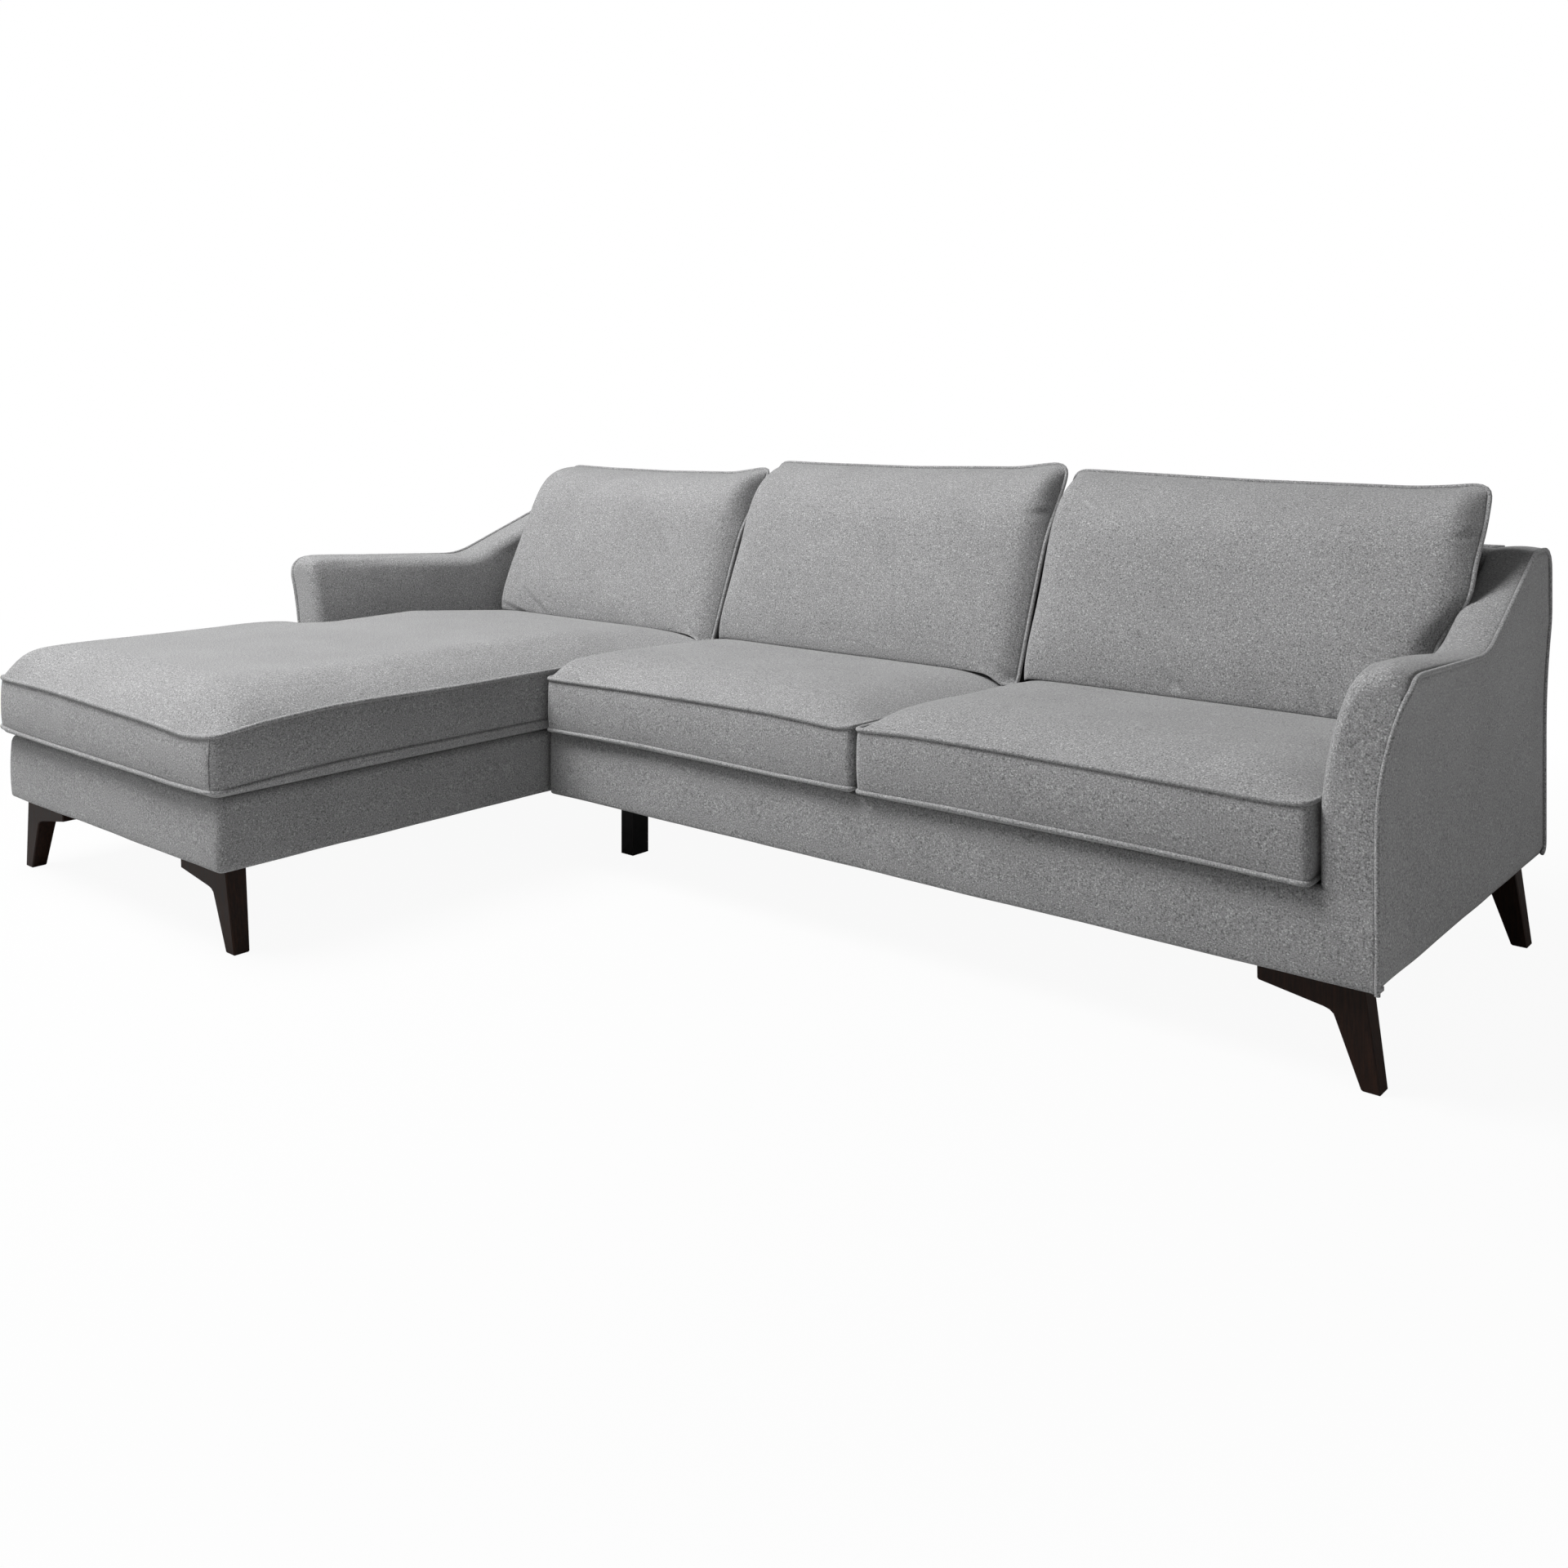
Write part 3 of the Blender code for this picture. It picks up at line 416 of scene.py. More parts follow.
class Shading:
    """The nodes of one material or world, with a short call for each kind that it uses."""

    def __init__(self, owner):
        owner.use_nodes = True
        self.links, self.nodes = owner.node_tree.links, owner.node_tree.nodes
        self.shader = self.nodes.get("Principled BSDF")

    def feed(self, node, inputs):
        """Links an input that is given a socket, and sets any other to its value."""
        for name, value in inputs.items():
            if isinstance(value, bpy.types.NodeSocket):
                self.links.new(value, node.inputs[name])
            else:
                node.inputs[name].default_value = value

    def add(self, kind, inputs, **settings):
        """A new node with its settings and inputs."""
        node = self.nodes.new("ShaderNode" + kind)
        for name, value in settings.items():
            setattr(node, name, value)
        self.feed(node, inputs)
        return node

    def place(self, space="Object"):
        return self.add("TexCoord", {}).outputs[space]

    def stretched(self, factors):
        """The place in the piece's own space, scaled by a factor for each axis."""
        return self.add("Mapping", {"Vector": self.place(), "Scale": factors}).outputs["Vector"]

    def noise(self, place, scale, detail, roughness):
        inputs = {"Vector": place, "Scale": scale, "Detail": detail, "Roughness": roughness}
        return self.add("TexNoise", inputs).outputs["Fac"]

    def ramp(self, value, *stops):
        """A tone for each value, from pairs of a position and a colour."""
        node = self.add("ValToRGB", {"Fac": value})
        elements = node.color_ramp.elements
        for position, _ in stops[2:]:
            elements.new(position)
        for element, (position, tone) in zip(elements, stops):
            element.position = position
            element.color = (*tone, 1.0)
        return node.outputs["Color"]

    def combined(self, operation, *values):
        """The result of a Math node."""
        return self.add("Math", dict(enumerate(values)), operation=operation).outputs[0]

    def scaled(self, value, factor, offset=0.0):
        return self.combined("MULTIPLY_ADD", value, factor, offset)

    def multiplied(self, a, b):
        """One colour multiplied by another."""
        inputs = {"Factor": 1.0, "A": a, "B": b}
        return self.add("Mix", inputs, data_type="RGBA", blend_type="MULTIPLY").outputs["Result"]

    def choice(self, share, first, second, output):
        """Sends one shader or the other to the output, by a share."""
        mixed = self.add("MixShader", {"Fac": share, 1: first.outputs[0], 2: second.outputs[0]})
        self.feed(self.nodes[output], {"Surface": mixed.outputs[0]})

    def bump(self, height, strength, distance):
        node = self.add("Bump", {"Strength": strength, "Distance": distance, "Height": height})
        self.feed(self.shader, {"Normal": node.outputs["Normal"]})


def grey(level):
    return (level,) * 3


def melange_cloth():
    """Wool-like cloth: pale and dark fibres mixed in specks over a plain weave that follows each panel."""
    look = sizes("sofa_cloth")
    made = bpy.data.materials.new("melange_cloth")
    shading = Shading(made)
    solid, flat = shading.place(), shading.place("UV")
    specks = shading.noise(solid, look.speckle, 3.0, 0.62)
    fibres = shading.noise(solid, look.speckle * 3.1, 2.0, 0.6)
    clouds = shading.noise(solid, 7.0, 2.0, 0.5)
    stops = ((0.34, look.dark), (0.47, look.middle), (0.56, look.middle), (0.68, look.light))
    mixed = shading.ramp(specks, *stops)
    mixed = shading.multiplied(mixed, shading.ramp(fibres, (0.30, grey(0.78)), (0.70, grey(1.20))))
    mixed = shading.multiplied(mixed, shading.ramp(clouds, (0.30, grey(0.95)), (0.70, grey(1.05))))
    bands = {"Vector": flat, "Scale": 2 * math.pi / (20 * look.thread)}
    bands.update({"Distortion": 1.2, "Detail": 1.0, "Detail Scale": 0.6})
    threads = [
        shading.add("TexWave", bands, wave_type="BANDS", bands_direction=direction).outputs["Fac"]
        for direction in ("X", "Y")
    ]
    weave = shading.combined("MAXIMUM", *threads)
    relief = shading.combined("ADD", shading.scaled(weave, 0.35), shading.scaled(specks, 1.6))
    shading.bump(relief, 0.55, 0.0012)
    shading.feed(shading.shader, {"Base Color": mixed, "Roughness": 0.92, "Specular IOR Level": 0.18})
    shading.feed(shading.shader, {"Sheen Weight": 0.22, "Sheen Roughness": 0.55})
    return made


def stained_wood():
    """Dark stained wood: long grain down the leg, with a thin satin lacquer."""
    look = sizes("sofa_wood")
    made = bpy.data.materials.new("espresso_stained_wood")
    shading = Shading(made)
    place = shading.stretched((1.0, 1.0, 0.07))
    grain = shading.noise(place, 260.0, 4.0, 0.6)
    pores = shading.noise(place, 900.0, 2.0, 0.7)
    tone = shading.ramp(grain, (0.32, look.grain), (0.72, look.stain))
    shading.feed(shading.shader, {"Base Color": tone, "Roughness": shading.scaled(grain, 0.22, 0.42)})
    shading.feed(shading.shader, {"Specular IOR Level": 0.16})
    shading.bump(shading.combined("ADD", grain, shading.scaled(pores, 0.6)), 0.16, 0.0005)
    return made


def plain_finish(name, dark, light, scale, roughness, metallic=0.0, stretch=(1.0, 1.0, 1.0)):
    """A finish for the parts underneath: two tones mixed by noise, with a little relief."""
    made = bpy.data.materials.new(name)
    shading = Shading(made)
    grain = shading.noise(shading.stretched(stretch), scale, 4.0, 0.6)
    rough = shading.scaled(grain, 0.2, roughness - 0.1)
    tone = shading.ramp(grain, (0.3, dark), (0.7, light))
    shading.feed(shading.shader, {"Base Color": tone, "Roughness": rough, "Metallic": metallic})
    shading.bump(grain, 0.25, 0.0004)
    return made


def dress(material, *nodes):
    """Gives carried-over frame parts their finish."""
    for node in nodes:
        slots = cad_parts[node].material_slots
        if slots:
            slots[0].material = material
        else:
            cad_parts[node].data.materials.append(material)


# Cushions

# Height of the lowest part of a seat that shows over the base
UNDER = 0.2965


def seat_level(y, rear, crown):
    """Height of a seat's crown: level, then a straight fall to the shelf under the back cushions."""
    size = sizes("sofa_cushions")
    fall = np.maximum(0.0, y - rear + size.slope_reach) / (size.slope_reach - size.shelf_reach)
    return crown - (crown - size.shelf) * fall


def rounded_corner(x, y, corner, inward, radius):
    """Bends a square corner of the grid into a round one.

    With a and b the shares of the radius left to the two edges, the place moves to
    a times the root of (1 - b squared / 2), and b times the root of (1 - a squared / 2).
    """
    a = np.clip(1 - (x - corner[0]) * inward[0] / radius, 0.0, 1.0)
    b = np.clip(1 - (y - corner[1]) * inward[1] / radius, 0.0, 1.0)
    x = x + inward[0] * radius * (a - a * np.sqrt(1 - b ** 2 / 2))
    y = y + inward[1] * radius * (b - b * np.sqrt(1 - a ** 2 / 2))
    return x, y


def swell(distance, reach, power):
    """Share of the full crown at a distance in from an edge."""
    return 1 - (1 - np.clip(distance / reach, 0.0, 1.0)) ** power


def outline_loop(index, corners):
    """The numbers of a grid's points along its outline, from corner to corner."""
    loop = []
    for (i, j), (k, l) in zip(corners, corners[1:] + corners[:1]):
        steps = max(abs(k - i), abs(l - j))
        share = np.arange(steps) / steps
        loop.append(index[np.round(lerp(j, l, share)).astype(int), np.round(lerp(i, k, share)).astype(int)])
    return np.concatenate(loop)


def renumbered(used, count):
    """The new number of each of count points once only the used ones are kept, and -1 for the others."""
    number = np.full(count, -1)
    number[used] = np.arange(len(used))
    return number


def boxed_cushion(name, xs, ys, empty, corners, plan, top, bottom, cloth, bulge=0.003, rows=9):
    """Seat cushion: a top and a bottom panel on one grid of xs and ys, joined by a boxing strip.

    plan(x, y) bends the grid into the cushion's outline, top(x, y) and bottom(x, y) give the heights,
    empty(x, y) is true for the cells that are left out, and corners are the outline's corners as grid
    numbers, anticlockwise. Between its seams the boxing stands out by bulge times (1 - the third power of
    the distance from mid-height, where each seam is at 1).
    """
    x, y = np.meshgrid(xs, ys)
    px, py = plan(x, y)
    count = x.size
    upper = np.stack([px, py, top(x, y)], -1).reshape(-1, 3)
    lower = np.stack([px, py, bottom(x, y)], -1).reshape(-1, 3)
    index = numbered(x)
    kept = ~empty((x[:-1, :-1] + x[1:, 1:]) / 2, (y[:-1, :-1] + y[1:, 1:]) / 2)
    loop = outline_loop(index, corners)
    high_line, low_line = upper[loop], lower[loop]
    along = np.roll(high_line, -1, 0) - np.roll(high_line, 1, 0)
    outward = unit(np.stack([along[:, 1], -along[:, 0], np.zeros(len(along))], -1))
    share = (np.arange(1, rows) / rows)[:, None, None]
    band = lerp(high_line, low_line, share) + outward * bulge * (1 - np.abs(2 * share - 1) ** 3)
    points = np.concatenate([upper, lower, band.reshape(-1, 3)])
    strip = np.arange(2 * count, len(points)).reshape(rows - 1, -1)
    strip = np.concatenate([loop[None], strip, loop[None] + count])
    strip = np.concatenate([strip, strip[:, :1]], 1)
    flat = np.stack([x, y], -1)
    walk = walked(high_line, closed=True)
    boxing = np.stack(np.meshgrid(walk, np.linspace(0.0, -0.115, rows + 1)), -1)
    cloths = [
        chosen(patch(index, flat), kept),
        chosen(patch(index + count, flat + 3.0, flip=True), kept),
        patch(strip, boxing + 6.0, flip=True),
    ]
    piece, used = sewn(name, points, cloths, cloth)
    number = renumbered(used, len(points))
    return piece, number[loop], number[loop + count], number[(index + count).ravel()], number[strip]


def pillow(name, xs, ups, plan, front, rear, stand, cloth):
    """Back cushion: a front and a rear panel on one grid, sewn together round a thin rim.

    front(x, up) and rear(x, up) are the distances of the two panels from the middle plane,
    and stand(x, up, out) puts the cushion in its leaning place.
    """
    x, up = np.meshgrid(xs, ups)
    px, pup = plan(x, up)
    count = x.size
    index = numbered(x)
    face = stand(px, pup, front(x, up)).reshape(-1, 3)
    behind = stand(px, pup, -rear(x, up)).reshape(-1, 3)
    points = np.concatenate([face, behind])
    other = index + count
    other[0], other[-1] = index[0], index[-1]
    other[:, 0], other[:, -1] = index[:, 0], index[:, -1]
    flat = np.stack([x, up], -1)
    cloths = [patch(index, flat), patch(other, flat + 3.0, flip=True)]
    piece, used = sewn(name, points, cloths, cloth)
    rim = np.concatenate([index[0, :-1], index[:-1, -1], index[-1, :0:-1], index[:0:-1, 0]])
    return piece, renumbered(used, len(points))[rim]


def edge_cord(name, piece, seam, lift, material, body):
    """The piping of a closed seam, a little outside the seam's own line."""
    path = smoothed(places_of(piece)[seam], 3)
    facing = unit(smoothed(normals_of(piece)[seam], 6))
    radius = sizes("sofa_covers").piping
    return own(cord(name, path + facing * lift, facing, radius, material, closed=True), body)


# Heights of the seats' seams as they lie, each as places along an edge and heights there
SEAMS = {
    "chaise_seat_cushion": {
        "front_high": (
            (-1.35, -1.11, -0.90, -0.70, -0.62, -0.565, -0.51, -0.45),
            (0.4160, 0.4155, 0.4100, 0.4050, 0.4015, 0.3965, 0.4000, 0.4080),
        ),
        "side_high": (
            (-0.845, -0.79, -0.75, -0.67, -0.62, -0.52, -0.41, -0.29, 0.10),
            (0.4080, 0.4180, 0.4225, 0.4255, 0.4280, 0.4280, 0.4250, 0.4230, 0.4235),
        ),
        "front_low": (
            (-1.35, -1.25, -1.10, -0.90, -0.70, -0.60, -0.45),
            (0.312, 0.307, 0.305, 0.304, 0.304, 0.303, 0.307),
        ),
        "side_low": ((-0.845, -0.76, -0.67, -0.57, -0.35, 0.10), (0.307, 0.312, 0.3155, 0.318, 0.317, 0.316)),
    },
    "seat_cushion_middle": {
        "front_high": (
            (-0.45, -0.17, 0.19, 0.30, 0.36, 0.395),
            (0.4115, 0.4165, 0.4195, 0.4160, 0.4125, 0.4180),
        ),
        "front_low": ((-0.45, -0.17, 0.20, 0.40), (0.302, 0.307, 0.304, 0.306)),
    },
    "seat_cushion_right": {
        "front_high": (
            (0.395, 0.52, 0.67, 0.97, 1.19, 1.24),
            (0.4150, 0.4215, 0.4215, 0.4180, 0.4150, 0.4190),
        ),
        "front_low": ((0.395, 0.60, 1.00, 1.24), (0.304, 0.307, 0.306, 0.302)),
    },
}

# How far in from its left and front edges each seat's crown is full. The front reach starts at its left with
# a value of its own and grows to the common one over FILLING_RUN
LEFT_REACH = {"chaise_seat_cushion": 0.078, "seat_cushion_middle": 0.045, "seat_cushion_right": 0.110}
FRONT_REACH = 0.130
FRONT_LEFT_REACH = {"chaise_seat_cushion": 0.070, "seat_cushion_middle": 0.070, "seat_cushion_right": 0.130}
FILLING_RUN = 0.250
# How far the covers stay within their solids at the sides and rear, and at the front
SIDE_TRIM, FRONT_TRIM = 0.004, 0.010
# Wider spacing of the large chaise cover's grid
CHAISE_SPACING = 1.04


def seam_height(x, y, front, right, lines, which, level):
    """Height of a seam's panel: the plain level, drawn to the lie of the front and right edges near them.

    Each edge's departure from the level fades by the exponential of minus the distance over 0.1 m, and at
    their shared corner the mean of both counts once.
    """
    ahead = np.interp(x, *lines["front_" + which]) - level
    near_front = np.exp(-(y - front) / 0.1)
    if "side_" + which not in lines:
        return level + ahead * near_front
    beside = np.interp(y, *lines["side_" + which]) - level
    near_side = np.exp(-(right - x) / 0.1)
    shared = (ahead + beside) / 2 * near_front * near_side
    return level + ahead * near_front + beside * near_side - shared


def edged(start, end, cell):
    """Even steps of about one cell, with closer ones at both ends for the turn under the seams."""
    close = np.array([0.0, 0.003, 0.007])
    return np.concatenate([start + close, spaced(start + 0.0125, end - 0.0125, cell), end - close[::-1]])


class SOFA_OT_seat_cushions(bpy.types.Operator):
    """Makes the three loose seat cushions with their piped box borders"""
    bl_idname = "sofa.seat_cushions"
    bl_label = "Seat cushions"

    def execute(self, context):
        size = sizes("sofa_cushions")
        cloth = bpy.data.materials["melange_cloth"]
        for node, crown in (
            ("seat_cushion_middle", size.crown),
            ("seat_cushion_right", size.crown),
            ("chaise_seat_cushion", size.chaise_crown),
        ):
            self.cushion(node, crown, size, cloth)
        return {"FINISHED"}

    def cushion(self, node, crown, size, cloth):
        (left, front, _), (right, rear, _) = low(node), high(node)
        chaise = node == "chaise_seat_cushion"
        left, right = left + SIDE_TRIM, right - SIDE_TRIM
        front, rear = front + FRONT_TRIM, rear - SIDE_TRIM
        notch_x = low("back_cushion_left")[0] + SIDE_TRIM if chaise else left
        notch_y = LEFT_ARM_FRONT - 0.012 if chaise else rear
        cell = size.cell * (CHAISE_SPACING if chaise else 1.0)
        xs = edged(left, right, cell)
        ys = edged(front, rear, cell)
        corners = [(0, 0), (len(xs) - 1, 0), (len(xs) - 1, len(ys) - 1), (0, len(ys) - 1)]
        if chaise:
            xs = np.concatenate([edged(left, notch_x, cell), edged(notch_x, right, cell)[1:]])
            ys = np.concatenate([edged(front, notch_y, cell), edged(notch_y, rear, cell)[1:]])
            i = int(np.argmin(abs(xs - notch_x)))
            j = int(np.argmin(abs(ys - notch_y)))
            last = (len(xs) - 1, len(ys) - 1)
            corners = [(0, 0), (last[0], 0), last, (i, last[1]), (i, j), (0, j)]
        front_round = 0.028 if chaise else 0.010
        lines = SEAMS[node]

        def rise(x, y):
            """Share of the crown at a place: it fades to each edge, and to the chaise's inner corner."""
            reach = lerp(FRONT_LEFT_REACH[node], FRONT_REACH, ease((x - left) / FILLING_RUN))
            share = swell(right - x, 0.15, 2.6) * swell(y - front, reach, 3.0) * swell(rear - y, 0.06, 2.4)
            share *= swell(x - left, LEFT_REACH[node], 3.2)
            if chaise:
                near = np.hypot(np.maximum(x - notch_x, 0.0), np.maximum(notch_y - y, 0.0))
                share *= swell(near, 0.065, 2.4)
            return share

        def top(x, y):
            seam = seam_height(x, y, front, right, lines, "high", size.seam_high)
            return seam + (seat_level(y, rear, crown) - seam) * rise(x, y)

        def bottom(x, y):
            """The underside: in from the seam to its lowest visible line, then up to lie on the deck."""
            seam = seam_height(x, y, front, right, lines, "low", size.seam_low)
            near = np.minimum(np.minimum(x - left, right - x), np.minimum(y - front, rear - y))
            hanging = seam - (seam - UNDER) * swell(near, 0.010, 2.0)
            return hanging - (UNDER - DECK_TOP - 0.0005) * ease((near - 0.004) / 0.03)

        def plan(x, y):
            """The grid drawn in between its corners, with the corners rounded."""
            t, s = (y - front) / (rear - front), (x - left) / (right - left)
            pull = 0.004 * np.sin(np.pi * t)
            px = x + pull * (1 - swell(x - left, 0.1, 2.0)) - pull * (1 - swell(right - x, 0.1, 2.0))
            py = y + 0.003 * np.sin(np.pi * s) * (1 - swell(y - front, 0.1, 2.0))
            px, py = rounded_corner(px, py, (left, front), (1, 1), front_round)
            px, py = rounded_corner(px, py, (right, front), (-1, 1), front_round)
            px, py = rounded_corner(px, py, (right, rear), (-1, -1), 0.025)
            if chaise:
                px, py = rounded_corner(px, py, (left, notch_y), (1, -1), 0.03)
            return px, py

        def empty(x, y):
            return (x < notch_x) & (y > notch_y) & chaise

        piece, high_seam, low_seam, under, strip = boxed_cushion(
            node + "_cover", xs, ys, empty, corners, plan, top, bottom, cloth
        )
        start = places_of(piece)
        pressed = (start[:, 1] > rear - size.shelf_reach + 0.01) & (start[:, 2] > size.seam_high)
        held = np.unique(np.concatenate([high_seam, low_seam, under[under >= 0], np.flatnonzero(pressed)]))
        filled(piece, held, size.pressure, size.slack, size.settle)
        settled = places_of(piece)
        settled[:, 2] = np.maximum(settled[:, 2], DECK_TOP + 0.0003)
        set_places(piece, settled)
        end = int(np.argmin(np.hypot(settled[high_seam, 0] - right + 0.0155, settled[high_seam, 1] - front)))
        joint, facing = settled[strip[:, end]], normals_of(piece)[strip[:, end]]
        refined(piece, [high_seam, low_seam])
        body = node + "_body"
        own(piece, body, node, fill=0.85)
        edge_cord(node + "_top_piping", piece, high_seam, 0.0015, cloth, body)
        edge_cord(node + "_bottom_piping", piece, low_seam, 0.0015, cloth, body)
        if chaise:
            facing[:, 2] = 0.0
            own(cord(node + "_boxing_seam", joint + facing * 0.0002, facing, 0.0011, cloth, sides=8), body)


# The back cushions: height, lap over the right neighbour, how soon and how much more it fills at its left,
# the rounds of its upper corners, how full it is up to its head, how its head line rises and falls from left
# to right, and its folds as (x, z, x, z, width, depth)
PILLOWS = {
    "left": {
        "height": 0.420, "lap": 0.020, "left_reach": 0.018, "left_fill": 0.018, "left_round": 0.016,
        "right_round": 0.008, "head_power": 6.0,
        "head": ((0.0, 0.2, 0.5, 0.8, 0.93, 1.0), (0.001, -0.004, -0.007, -0.004, -0.002, 0.003)),
        "folds": [
            (-1.205, 0.462, -1.129, 0.443, 0.007, 0.0045), (-1.119, 0.501, -1.043, 0.450, 0.008, 0.0045),
            (-0.519, 0.470, -0.486, 0.437, 0.007, 0.006),
        ],
    },
    "middle": {
        "height": 0.455, "lap": 0.026, "left_reach": 0.045, "left_fill": 0.0, "left_round": 0.014,
        "right_round": 0.026, "head_power": 4.5,
        "head": ((0.0, 0.15, 0.5, 0.75, 0.93, 1.0), (-0.003, -0.006, -0.008, -0.003, -0.001, 0.002)),
        "folds": [(0.362, 0.470, 0.405, 0.437, 0.007, 0.006), (0.381, 0.774, 0.449, 0.774, 0.008, 0.004)],
    },
    "right": {
        "height": 0.447, "lap": 0.0, "left_reach": 0.045, "left_fill": 0.0, "left_round": 0.016,
        "right_round": 0.018, "head_power": 4.5,
        "head": ((0.0, 0.15, 0.5, 0.8, 0.93, 1.0), (0.006, 0.002, -0.007, -0.010, -0.014, -0.010)),
        "folds": [
            (0.692, 0.552, 0.770, 0.468, 0.009, 0.007), (0.734, 0.531, 0.780, 0.462, 0.006, 0.004),
            (1.044, 0.485, 1.060, 0.452, 0.006, 0.006), (1.262, 0.770, 1.297, 0.783, 0.007, 0.004),
        ],
    },
}

# Thickness of a back cushion before and behind its middle plane, and how far in from its right it is full
PILLOW_FRONT, FRONT_FULL = 0.118, 0.045
PILLOW_REAR, REAR_FULL = 0.078, 0.090
# How far forward the rim swings along the right side
RIM_FORWARD = 0.090
# Where a back cushion's middle plane meets the shelf, before the rear, and how far its foot goes on below
PILLOW_STAND, PILLOW_TUCK = 0.295, 0.100
# The place in X that the right cushion spreads to over the arm
SPREAD_TO = 1.288
# Depth and width of the dips where two seats meet, into which a back cushion sags
SAG, SAG_WIDTH = 0.022, 0.030


def folded(piece, folds):
    """Presses soft folds into the front of a piece.

    A fold runs between two places seen from the front. With d the distance from it over its width, the cloth
    moves inwards by depth times (exp(-d squared) - exp(-(d - 1.6) squared) / 2) and swells on one side.
    """
    points, facing = places_of(piece), normals_of(piece)
    flat = points[:, (0, 2)]
    ahead = np.clip(-facing[:, 1:2] * 2, 0, 1)
    for x0, z0, x1, z1, width, depth in folds:
        start, run = np.array([x0, z0]), np.array([x1 - x0, z1 - z0])
        length = np.linalg.norm(run)
        run /= length
        offset = flat - start
        along = offset @ run
        side = offset @ np.array([-run[1], run[0]])
        ends = np.clip(along, 0.0, length) - along
        taper = np.exp(-(ends / width) ** 2) * (0.55 + 0.45 * np.clip(along / length, 0, 1))
        groove = np.exp(-(side / width) ** 2) - 0.5 * np.exp(-(side / width - 1.6) ** 2)
        points -= facing * (depth * taper * groove)[:, None] * ahead
    set_places(piece, points)


class SOFA_OT_back_cushions(bpy.types.Operator):
    """Makes the three back cushions: pillows with a piped rim that lean on the back"""
    bl_idname = "sofa.back_cushions"
    bl_label = "Back cushions"

    def execute(self, context):
        size = sizes("sofa_cushions")
        cloth = bpy.data.materials["melange_cloth"]
        for side in PILLOWS:
            self.cushion(side, size, cloth)
        return {"FINISHED"}

    def cushion(self, side, size, cloth):
        node = "back_cushion_" + side
        shape = PILLOWS[side]
        bottom, height, lap = -PILLOW_TUCK, shape["height"], shape["lap"]
        crown = size.chaise_crown if side == "left" else size.crown
        seat_rear = high("seat_cushion_middle")[1]
        floor, foot = size.shelf + 0.0006, REAR - PILLOW_STAND
        neighbour = {"left": "back_cushion_middle", "middle": "back_cushion_right"}.get(side)
        left = low(node)[0] + 0.002
        right = low(neighbour)[0] - 0.0095 if neighbour else RIGHT - ARM_T - 0.006
        spill = SPREAD_TO - right if side == "right" else 0.0
        xs = spaced(left, right, size.cell)
        ups = spaced(bottom, height, size.cell)

        def across(x):
            """Share of the way from the left side to the right one."""
            return (x - left) / (right - left)

        def climb(up):
            """Share of the way from the foot to the head."""
            return (up - bottom) / (height - bottom)

        def full(x, up, reach):
            """Share of the full thickness: it fades to both sides, the foot and the head."""
            sides = swell(right - x, reach, 2.2) * swell(x - left, shape["left_reach"], 2.4)
            along = 2 * climb(up) - 1
            return sides * (1 - np.where(along < 0, np.abs(along) ** 9, np.abs(along) ** shape["head_power"]))

        def seam(x, up):
            """The rim's place between the panels: forward along the right side, in the middle elsewhere."""
            fading = 1 - 0.65 * ease((climb(up) - 0.60) / 0.40)
            return RIM_FORWARD * ease((x - right + 0.16) / 0.15) * fading

        def front(x, up):
            """Distance of the front panel from the middle plane."""
            low_left = (1 - across(x)) ** 3 * (1 - ease(1.6 * climb(up) - 0.4))
            return lerp(seam(x, up), PILLOW_FRONT + shape["left_fill"] * low_left, full(x, up, FRONT_FULL))

        def rear(x, up):
            """Distance of the rear panel from the middle plane."""
            return lerp(-seam(x, up), PILLOW_REAR, full(x, up, REAR_FULL))

        def plan(x, up):
            """The grid bent in at its sides, round at its upper corners and wavy along its head."""
            px = x + 0.003 * np.sin(np.pi * climb(up)) * (1 - 2 * across(x))
            px, pup = rounded_corner(px, up, (left, height), (1, -1), shape["left_round"])
            px, pup = rounded_corner(px, pup, (right, height), (-1, -1), shape["right_round"])
            return px, pup + np.interp(across(x), *shape["head"]) * ease(3 * climb(up) - 2)

        def seat(x, y):
            """Height of the seats under the cushion, lower in the dips where two of them meet."""
            gaps = (SOFA_LEFT - 0.003, low("seat_cushion_right")[0])
            dips = sum(np.exp(-(((x - gap) / SAG_WIDTH) ** 2)) for gap in gaps)
            return seat_level(y, seat_rear, crown) + floor - size.shelf - SAG * dips

        def free(y, z):
            """How far the cushion may spread over the arm at a place."""
            over = ease((z - arm_height(y - SOFA_FRONT) + 0.075) / 0.095)
            return lap + spill * over * (1 - 0.12 * ease((z - 0.76) / 0.08))

        def stand(x, up, out):
            """The leaning place of a point at a width, a height and a distance from the middle plane."""
            y = foot + up * math.sin(size.lean) - out * math.cos(size.lean)
            z = floor + up * math.cos(size.lean) + out * math.sin(size.lean)
            share = np.clip(across(x) * 2 - 1, 0, 1)
            x = x + (free(y, z) - lap) * share + lap * share ** 4 * np.clip(out / RIM_FORWARD, 0, 1)
            return np.stack([x, y, np.maximum(z, seat(x, y))], -1)

        def kept(points):
            """Points kept off the seat and, below the arm's top, between the neighbours."""
            points[:, 2] = np.maximum(points[:, 2], seat(points[:, 0], points[:, 1]))
            most = right + 0.0015 + free(points[:, 1], points[:, 2])
            points[:, 0] = np.clip(points[:, 0], left - 0.0015, most)
            return points

